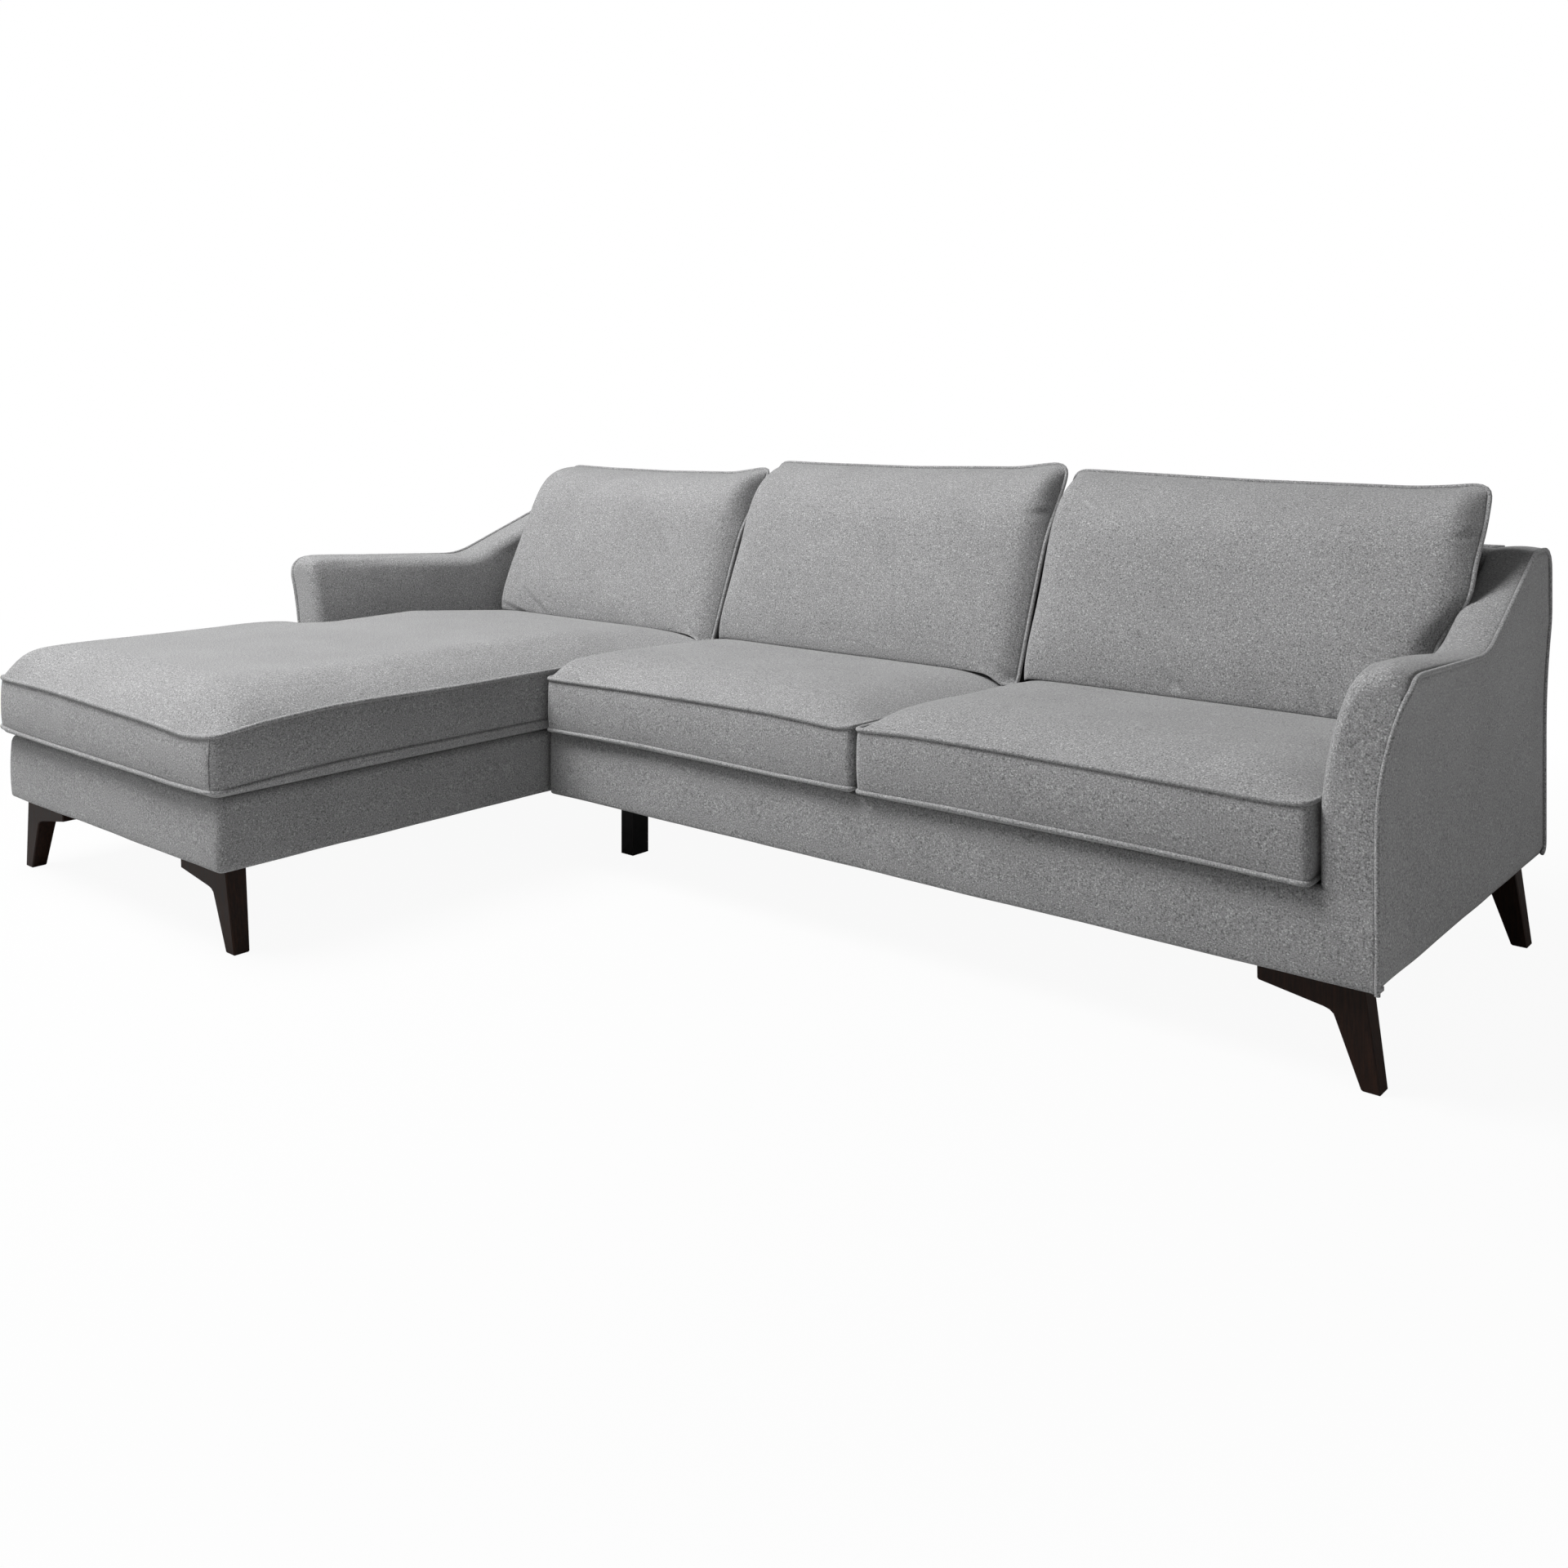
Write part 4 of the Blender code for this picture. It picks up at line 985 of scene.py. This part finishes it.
        piece, rim = pillow(node + "_cover", xs, ups, plan, front, rear, stand, cloth)
        start = places_of(piece)
        resting = np.flatnonzero(start[:, 2] < seat(start[:, 0], start[:, 1]) + 0.001)
        filled(piece, np.unique(np.concatenate([rim, resting])), size.pressure, size.slack, 1.4 * size.settle)
        set_places(piece, kept(places_of(piece)))
        refined(piece, [rim])
        folded(piece, shape["folds"])
        set_places(piece, kept(places_of(piece)))
        body = node + "_body"
        own(piece, body, node, fill=0.7)
        edge_cord(node + "_piping", piece, rim, 0.001, cloth, body)


# Fixed covers

# The turn of a base cover under its border: the radius, the lowest height and how far it goes back
LIP, LIP_LOW, LIP_DEPTH = 0.007, BASE_LOW - 0.003, 0.030
# Round of the outside panels' lower rear corner
LOWER_ROUND = 0.016
# Points of an arm's section up its inner side, round its rolled edge and over its top
RISING, TURNING, CROSSING = 26, 9, 8
# How much the inner edge stands up near the front, and the crown's height there, on the right and left arms
ARM_FILL = {1: (0.012, 0.013), -1: (0.002, 0.007)}
# The turn of the base cover's upper edge back over its border: steps from the edge, and the cloth up to each
OVER_STEPS = np.array([(0.0, 0.004, 0.0035), (0.0, 0.012, 0.005), (0.0, 0.035, 0.003)])
OVER_WALK = (0.0, 0.005, 0.014, 0.037)


def arm_height(run):
    """Height of the arm's outer top edge, run metres behind the sofa's front.

    It falls evenly to the sweep's foot and climbs evenly from there, with a parabola between the two.
    """
    size = sizes("sofa_covers")
    depth = REAR - SOFA_FRONT
    start, end, blend = depth - size.sweep_foot, depth - size.sweep_head, size.sweep_blend
    slope = (BACK_TOP - size.arm_top + size.arm_fall) / (end - start)
    fall = size.arm_fall / start
    past = np.maximum(0.0, run - start + blend)
    bend = size.arm_top - fall * run + (slope + fall) * past ** 2 / (4 * blend)
    straight = size.arm_top - size.arm_fall + slope * (run - start)
    return np.minimum(BACK_TOP, np.where(run < start + blend, bend, straight))


def arm_flare(run, z):
    """Outward lean of the arm: a reach that fades evenly, times the squared share of the flare's height."""
    size = sizes("sofa_covers")
    reach = lerp(size.flare, FLARE_REAR, np.clip(run / size.flare_length, 0, 1))
    return reach * np.clip((z - FLARE_START) / FLARE_RISE, 0, 1) ** 2


def arm_stations(front):
    """Places along the arm: close together round its front corner, then even."""
    corner = sizes("sofa_covers").arm_corner
    turn = np.linspace(0.0, np.pi / 2, 13)
    near = front + corner * (1 - np.cos(turn))
    return np.concatenate([near, spaced(near[-1] + 0.010, REAR - 0.008, 0.012)])


def arm_sections(edge, side, ys, front, foot):
    """Sections of a padded arm from front to rear, with their insets from the outer edge and their heights.

    Each runs from the inner foot up over the rolled edge to the outer edge: a column, a quarter round and a
    crowned line. The last ones close down on the rear cover.
    """
    size = sizes("sofa_covers")
    standing, crowned = ARM_FILL[side]
    depth, run = (ys - front)[:, None], (ys - SOFA_FRONT)[:, None]
    drop, tuck = corner_drop(size.arm_corner, depth), corner_drop(size.arm_roll, depth)
    closing = ease((run - (REAR - SOFA_FRONT) + 0.018) / 0.014)
    top = arm_height(run) - drop - 0.003 * closing
    inside = ARM_T - tuck
    roll = size.arm_roll * lerp(0.55, 1.0, 1 - tuck / size.arm_roll) * 1.25
    roll = roll * lerp(1.0, 0.35, ease((run - 0.77) / 0.09))
    raised = top + standing * ease(depth / 0.08) * (1 - ease((depth - 0.12) / 0.33))
    column_z = lerp(foot, raised - roll, np.linspace(0.0, 1.0, RISING))
    column_in = np.repeat(inside, RISING, 1)
    turn = np.linspace(0.0, np.pi / 2, TURNING)[1:]
    turn_z = raised - roll + roll * np.sin(turn)
    turn_in = inside - roll * (1 - np.cos(turn))
    across = np.linspace(0.0, 1.0, CROSSING)[1:]
    over_in = lerp(turn_in[:, -1:], 0.0, across)
    crown = lerp(crowned, 0.004, ease(run / 0.60)) * (1 - closing)
    over_z = lerp(raised, top, across) + crown * 4 * across * (1 - across)
    over_z -= (corner_drop(size.arm_shoulder, depth) - drop) * across ** 2
    insets = np.concatenate([column_in, turn_in, over_in], 1)
    heights = np.concatenate([column_z, turn_z, over_z], 1)
    xs = edge + side * (arm_flare(run, heights) - insets)
    return np.stack([xs, np.repeat(ys[:, None], xs.shape[1], 1), heights], -1), insets, heights


def outer_line(edge, side, front, levels):
    """The outer edge of an arm's front at some heights."""
    x = edge + side * arm_flare(front - SOFA_FRONT, levels)
    return np.stack([x, np.full(len(levels), front), levels], -1)


def front_face(section, edge, side, front, foot):
    """The front face of an arm, inside its first section.

    It is a Coons patch: the blend of the left and right lines, plus that of the bottom and top lines, less
    that of the four corners.
    """
    half = RISING + TURNING // 2
    left, top = section[: half + 1], section[half:]
    right = outer_line(edge, side, front, lerp(foot, top[-1, 2], np.linspace(0, 1, half + 1)))
    bottom = lerp(left[0], right[0], np.linspace(0, 1, len(top))[:, None])
    u = np.linspace(0, 1, len(top))[None, :, None]
    v = np.linspace(0, 1, half + 1)[:, None, None]
    face = lerp(left[:, None], right[:, None], u) + lerp(bottom[None], top[None], v)
    face = face - lerp(lerp(left[0], right[0], u), lerp(left[-1], right[-1], u), v)
    swelling = 16 * u * (1 - u) * np.minimum(v, 0.25) * (1 - v)
    face[..., 1] -= (sizes("sofa_covers").padding * 0.6 * swelling)[..., 0]
    return face


def with_base(face, band_left, front, foot):
    """An arm's front face with the front of the base below and beside it, and the rows and columns added."""
    turn = np.linspace(0, np.pi / 2, 5)
    face_z = np.linspace(LIP_LOW + LIP, foot, 9)[1:-1]
    z = np.concatenate([[LIP_LOW], LIP_LOW + LIP - LIP * np.cos(turn), face_z])
    y = np.concatenate([[front + LIP_DEPTH], front + LIP - LIP * np.sin(turn), np.full(len(face_z), front)])
    band_x = spaced(band_left, face[0, 0, 0], 0.012)[:-1]
    x = np.concatenate([band_x, lerp(face[0, 0, 0], face[0, -1, 0], np.linspace(0, 1, face.shape[1]))])
    rows, columns = len(z), len(band_x)
    grid = np.zeros((rows + face.shape[0], columns + face.shape[1], 3))
    grid[:rows] = np.stack(np.broadcast_arrays(x[None], y[:, None], z[:, None]), -1)
    grid[rows:, columns:] = face
    grid[rows, :columns] = np.stack([band_x, np.full(columns, front), np.full(columns, foot)], -1)
    base = grid[: rows + 1]
    level = np.clip((base[..., 2] - LIP_LOW) / (foot - LIP_LOW), 0, 1)
    inwards = base[..., 0] - band_left
    base[..., 1] -= sizes("sofa_covers").padding * 4 * level * (1 - level) * ease(inwards / 0.02)
    base[..., 1] += 0.010 * (1 - ease(inwards / 0.008))
    return grid, rows, columns


def arm_cover(name, edge, side, front, foot, cloth, band_left=None):
    """The padded arm as one sheet of front face, top and inner side, and the line of its outer edge.

    With band_left the face also runs along the base.
    """
    ys = arm_stations(front)
    sections, insets, heights = arm_sections(edge, side, ys, front, foot)
    grid, base_rows, band_columns = front_face(sections[0], edge, side, front, foot), 0, 0
    if band_left is not None:
        grid, base_rows, band_columns = with_base(grid, band_left, front, foot)
    index = numbered(grid)
    kept = np.ones_like(index[1:, 1:], bool)
    kept[base_rows:, :band_columns] = False
    chain = np.concatenate([index[base_rows:, band_columns], index[-1, band_columns + 1:]])
    strip = np.concatenate([chain[None], numbered(sections[1:]) + index.size])
    walk = walked(np.stack([-insets[0], heights[0]], -1))
    mirrored = side < 0
    cloths = [
        chosen(patch(index, grid[..., (0, 2)], flip=mirrored), kept),
        patch(strip, np.stack(np.meshgrid(walk, ys), -1) + 3.0, flip=mirrored),
    ]
    points = [grid.reshape(-1, 3), sections[1:].reshape(-1, 3)]
    if band_left is not None:
        edge_row = grid[base_rows, : band_columns + 1]
        lips = edge_row[None] + OVER_STEPS[:, None]
        lip_index = numbered(lips) + index.size + len(points[1])
        lip_index = np.concatenate([index[base_rows, : band_columns + 1][None], lip_index])
        lip_place = np.stack(np.meshgrid(edge_row[:, 0], OVER_WALK), -1) + 6.0
        cloths.append(patch(lip_index, lip_place, flip=mirrored))
        points.append(lips.reshape(-1, 3))
    piece, _ = sewn(name, np.concatenate(points), cloths, cloth)
    outer = np.concatenate([outer_line(edge, side, front, grid[:, -1, 2]), sections[1:, -1]])
    return finished(piece, 0.0009, 2.0), outer


def side_cover(name, edge, side, front, cloth):
    """Outside panel of an arm, from the base's lower edge to the arm's top edge, bent out with the flare."""
    size = sizes("sofa_covers")
    ys = arm_stations(front)
    run = ys - SOFA_FRONT
    foot, top = BASE_LOW - 0.002, arm_height(run) - corner_drop(size.arm_shoulder, ys - front)
    levels = np.linspace(0, 1, 44)[:, None]
    z = lerp(foot + corner_drop(LOWER_ROUND, REAR - ys)[None], top[None], levels)
    y = np.repeat(ys[None], len(levels), 0)
    x = edge + side * arm_flare(run[None], z)
    near = np.minimum(np.minimum(top[None] - z, z - foot), np.minimum(y - front, REAR - y))
    x = x + side * size.padding * 0.6 * swell(near, 0.05, 2.0)
    x = x - side * 0.005 * (1 - ease((z - foot) / 0.006))
    piece = sheet(name, np.stack([x, y, z], -1), np.stack([y, z], -1), cloth, flip=side < 0)
    return finished(piece, 0.0009, 5.0)


def base_profile():
    """Section of a base cover, as (inset, height): under lip, round, face and rolled top."""
    top, head = BASE_TOP + 0.004, 0.016
    turn = np.linspace(0, np.pi / 2, 5)
    low_in, low_z = LIP - LIP * np.sin(turn), LIP_LOW + LIP - LIP * np.cos(turn)
    face_z = np.linspace(LIP_LOW + LIP, top - head, 11)[1:-1]
    high_in, high_z = head - head * np.cos(turn), top - head + head * np.sin(turn)
    inset = np.concatenate([[LIP_DEPTH], low_in, np.zeros(len(face_z)), high_in, [0.035]])
    height = np.concatenate([[LIP_LOW], low_z, face_z, high_z, [top - 0.002]])
    swelling = 4 * (height - LIP_LOW) * (top - height) / (top - LIP_LOW) ** 2
    return inset - sizes("sofa_covers").padding * np.clip(swelling, 0, 1), height


def rounded_path(corners, radius, cell):
    """A line through plan corners with each inner corner rounded to an arc."""
    corners = [np.array(c, float) for c in corners]
    start = corners[0]
    parts = [start[None]]
    for before, at, after in zip(corners, corners[1:], corners[2:]):
        into, away = unit(at - before), unit(after - at)
        enter = at - into * radius
        count = max(2, round(np.linalg.norm(enter - start) / cell))
        parts.append(lerp(start, enter, np.linspace(0, 1, count + 1)[1:, None]))
        turn = np.linspace(0, np.pi / 2, 7)[1:, None]
        centre = enter + away * radius
        parts.append(centre - away * radius * np.cos(turn) + into * radius * np.sin(turn))
        start = at + away * radius
    count = max(2, round(np.linalg.norm(corners[-1] - start) / cell))
    parts.append(lerp(start, corners[-1], np.linspace(0, 1, count + 1)[1:, None]))
    return np.concatenate(parts)


class SOFA_OT_base_covers(bpy.types.Operator):
    """Covers the chaise's base in one padded band that turns its corners"""
    bl_idname = "sofa.base_covers"
    bl_label = "Base covers"

    def execute(self, context):
        cloth = bpy.data.materials["melange_cloth"]
        inset, height = base_profile()
        corners = [
            (CHAISE_LEFT, LEFT_ARM_FRONT - 0.0005),
            (CHAISE_LEFT, CHAISE_FRONT),
            (CHAISE_RIGHT, CHAISE_FRONT),
            (CHAISE_RIGHT, REAR - 0.012),
        ]
        path = rounded_path(corners, 0.012, 0.012)
        along = unit(np.gradient(path, axis=0))
        outward = np.stack([along[:, 1], -along[:, 0]], -1)
        plan = path[:, None] - outward[:, None] * inset[None, :, None]
        grid = np.concatenate([plan, np.broadcast_to(height[None, :, None], plan.shape[:2] + (1,))], -1)
        climb = walked(np.stack([inset, height], -1))
        place = np.stack(np.meshgrid(walked(path), climb, indexing="ij"), -1)
        piece = finished(sheet("chaise_base_cover", grid, place, cloth), 0.0012, 1.0)
        own(piece, "frame", "chaise_front_border", "chaise_left_border", "chaise_right_border")
        return {"FINISHED"}


class SOFA_OT_arms(bpy.types.Operator):
    """Covers both arms, and the front of the sofa's base that runs into the right arm"""
    bl_idname = "sofa.arms"
    bl_label = "Arms"

    def execute(self, context):
        cloth = bpy.data.materials["melange_cloth"]
        for prefix, edge, side, front, band in (
            ("right_arm", RIGHT, 1, SOFA_FRONT, SOFA_LEFT),
            ("left_arm", CHAISE_LEFT, -1, LEFT_ARM_FRONT, None),
        ):
            cover, outer = arm_cover(prefix + "_cover", edge, side, front, BASE_TOP + 0.001, cloth, band)
            nodes = [prefix + "_pad"] + (["sofa_front_border"] if band is not None else [])
            own(cover, "frame", *nodes, fill=0.9)
            panel = side_cover(prefix + "_side_cover", edge, side, front, cloth)
            own(panel, "frame", prefix + "_side_panel")
            self.piping(prefix, edge, side, outer[:-1], cloth)
        return {"FINISHED"}

    def piping(self, prefix, edge, side, outer, cloth):
        """The cord along an arm's outer edge, then down its rear edge and round the lower corner."""
        turn = np.linspace(0, np.pi / 2, 7)[1:]
        straight = spaced(BACK_TOP - 0.014, BASE_LOW + 0.018, 0.015)
        z = np.concatenate([straight, BASE_LOW + 0.002 + LOWER_ROUND * (1 - np.sin(turn))])
        y = REAR - 0.001 - np.concatenate([np.zeros(len(straight)), LOWER_ROUND * (1 - np.cos(turn))])
        down = np.stack([edge + side * arm_flare(REAR - SOFA_FRONT, z), y, z], -1)
        line = smoothed(np.concatenate([outer, down]), 2, closed=False)
        along = unit(np.gradient(line, axis=0))
        outward = np.stack([np.full(len(along), float(side)), -along[:, 2], along[:, 1]], -1) / math.sqrt(2)
        radius = sizes("sofa_covers").piping
        own(cord(prefix + "_piping", line + outward * 0.0012, outward, radius, cloth), "frame")


class SOFA_OT_back(bpy.types.Operator):
    """Covers the padded inside of the back, its rolled head and the outside panels"""
    bl_idname = "sofa.back"
    bl_label = "Back"

    def execute(self, context):
        cloth = bpy.data.materials["melange_cloth"]
        for prefix in ("chaise", "sofa"):
            self.inside(prefix, cloth)
            self.outside(prefix, cloth)
        return {"FINISHED"}

    def inside(self, prefix, cloth):
        """Profile in Y and Z: up the leaning face, round the head and down to the rear seam."""
        node = prefix + "_back_pad"
        left, right = low(node)[0], high(node)[0]
        head_z, roll = BACK_TOP - 0.035, 0.035
        foot_y, head_y = REAR - 0.210, REAR - 0.110
        z = spaced(BASE_TOP + 0.001, head_z, 0.014)
        y = lerp(foot_y, head_y, (z - BASE_TOP) / (head_z - BASE_TOP))
        turn = np.linspace(0, np.pi / 2, 9)[1:]
        over_y, over_z = head_y + roll * (1 - np.cos(turn)), head_z + roll * np.sin(turn)
        back_y = spaced(over_y[-1], REAR - 0.004, 0.012)[1:]
        share = (back_y - over_y[-1]) / (REAR - over_y[-1])
        y = np.concatenate([y, over_y, back_y])
        z = np.concatenate([z, over_z, BACK_TOP - 0.004 * share ** 2])
        flared = 1 if prefix == "sofa" else -1
        xs = spaced(left, right, 0.014)
        near = swell(np.minimum(xs - left, right - xs), 0.03, 2.0)[:, None]
        line = np.stack([y, z], -1)
        along = unit(np.gradient(line, axis=0))
        outward = np.stack([-along[:, 1], along[:, 0]], -1)
        shape = line[None] + outward[None] * (0.003 * (near[..., None] - 1))
        at_arm = (xs - left) / (right - left) if flared > 0 else (right - xs) / (right - left)
        reach = arm_flare(y - SOFA_FRONT, z) + 0.014 * ease((z - 0.5) / 0.1)
        reach = reach + 0.010 * ease((z - 0.815) / 0.045)
        across = xs[:, None] + flared * reach[None] * ease((at_arm[:, None] - 0.9) / 0.1)
        grid = np.concatenate([across[..., None], shape], -1)
        place = np.stack(np.meshgrid(xs, walked(line), indexing="ij"), -1)
        piece = finished(sheet(prefix + "_back_cover", grid, place, cloth), 0.001, 3.0)
        own(piece, "frame", node, fill=0.9)

    def outside(self, prefix, cloth):
        """Flat sheet behind the module, a little puffed, with its upper corners following the flare."""
        node = prefix + "_outside_back"
        side = 1 if prefix == "sofa" else -1
        left, right = (SOFA_LEFT, RIGHT) if side > 0 else (CHAISE_LEFT, CHAISE_RIGHT)
        z = spaced(BASE_LOW - 0.002, BACK_TOP - 0.002, 0.014)[:, None]
        share = np.linspace(0, 1, 70)[None]
        lean = side * (arm_flare(REAR - SOFA_FRONT, z) - corner_drop(0.020, z - BASE_LOW + 0.002))
        x = lerp(left + lean * (side < 0), right + lean * (side > 0), share)
        z = np.repeat(z, x.shape[1], 1)
        near = np.minimum(np.minimum(x - x[:, :1], x[:, -1:] - x), np.minimum(z - z[0, 0], z[-1, 0] - z))
        y = REAR - 0.004 + 0.010 * swell(near, 0.035, 2.0)
        grid = np.stack([x, y, z], -1)
        cover = sheet(prefix + "_rear_cover", grid, np.stack([x, z], -1), cloth)
        own(finished(cover, 0.0008, 4.0, 0.005), "frame", node)
        outer = grid[-1][3:-3]
        outward = np.zeros_like(outer)
        outward[:, 1] = 1.0
        radius = sizes("sofa_covers").piping
        own(cord(prefix + "_head_piping", outer, outward, radius, cloth), "frame")


class SOFA_OT_finishes(bpy.types.Operator):
    """Makes the cloth, and finishes the legs, rails, decks, springs and plates of the frame"""
    bl_idname = "sofa.finishes"
    bl_label = "Finishes"

    def execute(self, context):
        melange_cloth()
        names = list(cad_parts)
        wood = stained_wood()
        supports = ("chaise_rear_right_leg", "sofa_front_left_leg", "sofa_rear_left_leg")
        lacquer = plain_finish("black_lacquer", grey(0.006), grey(0.014), 300.0, 0.45, stretch=(1, 1, 0.1))
        pine = ((0.36, 0.22, 0.11), (0.62, 0.44, 0.26))
        timber = plain_finish("sawn_pine", *pine, 60.0, 0.72, stretch=(0.2, 0.2, 2.5))
        felt = plain_finish("grey_felt", grey(0.06), grey(0.14), 420.0, 0.95)
        lining = plain_finish("black_lining", grey(0.012), grey(0.03), 800.0, 0.9)
        steel = plain_finish("oiled_steel", (0.28, 0.28, 0.29), (0.50, 0.50, 0.51), 500.0, 0.4, metallic=1.0)
        dress(wood, *(n for n in names if n.endswith("_leg") and n not in supports))
        dress(lacquer, *supports)
        dress(timber, *(n for n in names if n.endswith(("_rail", "_frame", "_post_left", "_post_right"))))
        dress(felt, *(n for n in names if n.endswith("_deck")))
        dress(lining, *(n for n in names if n.endswith("_dust_cover")))
        dress(steel, *(n for n in names if "_spring_" in n or n.startswith("joining_plate")))
        return {"FINISHED"}


# Stage

class SOFA_OT_stage(bpy.types.Operator):
    """Sets up the floor, the soft lights and the camera"""
    bl_idname = "sofa.stage"
    bl_label = "Stage"

    def execute(self, context):
        look = sizes("sofa_stage")
        scene = context.scene
        scene.view_settings.view_transform = "Standard"
        self.world(scene, look)
        self.floor()
        self.lamp("key_light", look.key, 2.6, (-1.75, -1.78, 4.4), (-0.1, 0.0, 0.3))
        self.lamp("fill_light", look.fill, 3.0, (-1.6, -5.0, 1.2), (0.0, 0.0, 0.4))
        self.lamp("side_light", look.side, 0.7, (3.4, 0.7, 0.37), (1.35, 0.3, 0.40))
        lens = bpy.data.cameras.new("camera")
        camera = bpy.data.objects.new("camera", lens)
        scene.collection.objects.link(camera)
        camera.location = (2.0812, -2.2680, 0.9985)
        camera.rotation_euler = (math.pi / 2, 0.0, 0.7001)
        lens.sensor_width = 36.0
        lens.sensor_fit = "AUTO"
        lens.lens = 34.814
        lens.shift_y = -0.2390
        scene.camera = camera
        return {"FINISHED"}

    def world(self, scene, look):
        """Plain pale light from all round; the camera sees white, also through glass."""
        world = bpy.data.worlds.new("pale_room")
        shading = Shading(world)
        ground = shading.nodes["Background"]
        white = (1.0, 1.0, 1.0, 1.0)
        shading.feed(ground, {"Color": white, "Strength": look.ambient})
        seen = shading.add("Background", {"Color": white})
        path = shading.add("LightPath", {}).outputs
        either = shading.combined("MAXIMUM", path["Is Camera Ray"], path["Is Transmission Ray"])
        shading.choice(either, ground, seen, "World Output")
        scene.world = world

    def floor(self):
        """Pale ground that shows the sofa's shade close by and turns white further off."""
        made = bpy.data.materials.new("pale_floor")
        shading = Shading(made)
        plain = {"Base Color": (0.55, 0.55, 0.55, 1.0), "Roughness": 0.9, "Specular IOR Level": 0.0}
        shading.feed(shading.shader, plain)
        glow = shading.add("Emission", {})
        away = shading.add("VectorMath", {0: shading.place()}, operation="LENGTH").outputs["Value"]
        fade = shading.add("MapRange", {"Value": away, "From Min": 1.6, "From Max": 2.8, "To Min": 0.94})
        camera = shading.add("LightPath", {}).outputs["Is Camera Ray"]
        share = shading.combined("MULTIPLY", camera, fade.outputs["Result"])
        shading.choice(share, shading.shader, glow, "Material Output")
        line = np.linspace(-7.0, 7.0, 3)
        x, y = np.meshgrid(line, line)
        grid = np.stack([x, y, np.full_like(x, -0.0005)], -1)
        sheet("floor", grid, grid[..., :2], made, flip=False)

    def lamp(self, name, power, width, place, target):
        lamp = bpy.data.lights.new(name, "AREA")
        lamp.energy = power
        lamp.shape = "DISK"
        lamp.size = width
        thing = bpy.data.objects.new(name, lamp)
        thing.location = place
        thing.rotation_euler = (Vector(target) - Vector(place)).to_track_quat("-Z", "Y").to_euler()
        bpy.context.scene.collection.objects.link(thing)


class SOFA_PT_panel(bpy.types.Panel):
    """Lists the sizes and looks, and the steps that make the sofa"""
    bl_idname = "SOFA_PT_panel"
    bl_label = "Corner sofa"
    bl_space_type = "VIEW_3D"
    bl_region_type = "UI"
    bl_category = "Corner sofa"

    def draw(self, context):
        for group in GROUPS:
            box = self.layout.box()
            settings = getattr(context.scene, group)
            for name in settings.__annotations__:
                box.prop(settings, name)
        for step in STEPS:
            self.layout.operator(step.bl_idname)


GROUPS = {
    "sofa_cushions": CushionSizes,
    "sofa_covers": CoverSizes,
    "sofa_cloth": ClothLook,
    "sofa_wood": WoodLook,
    "sofa_stage": StageLook,
}
STEPS = (
    SOFA_OT_stage,
    SOFA_OT_finishes,
    SOFA_OT_base_covers,
    SOFA_OT_arms,
    SOFA_OT_back,
    SOFA_OT_seat_cushions,
    SOFA_OT_back_cushions,
)


def register():
    for group in (*GROUPS.values(), *STEPS, SOFA_PT_panel):
        bpy.utils.register_class(group)
    for name, group in GROUPS.items():
        setattr(bpy.types.Scene, name, PointerProperty(type=group))


def unregister():
    for name in GROUPS:
        delattr(bpy.types.Scene, name)
    for group in (SOFA_PT_panel, *reversed(STEPS), *reversed(list(GROUPS.values()))):
        bpy.utils.unregister_class(group)


def main():
    register()
    for step in STEPS:
        family, name = step.bl_idname.split(".")
        getattr(getattr(bpy.ops, family), name)()


if __name__ == "__main__":
    main()
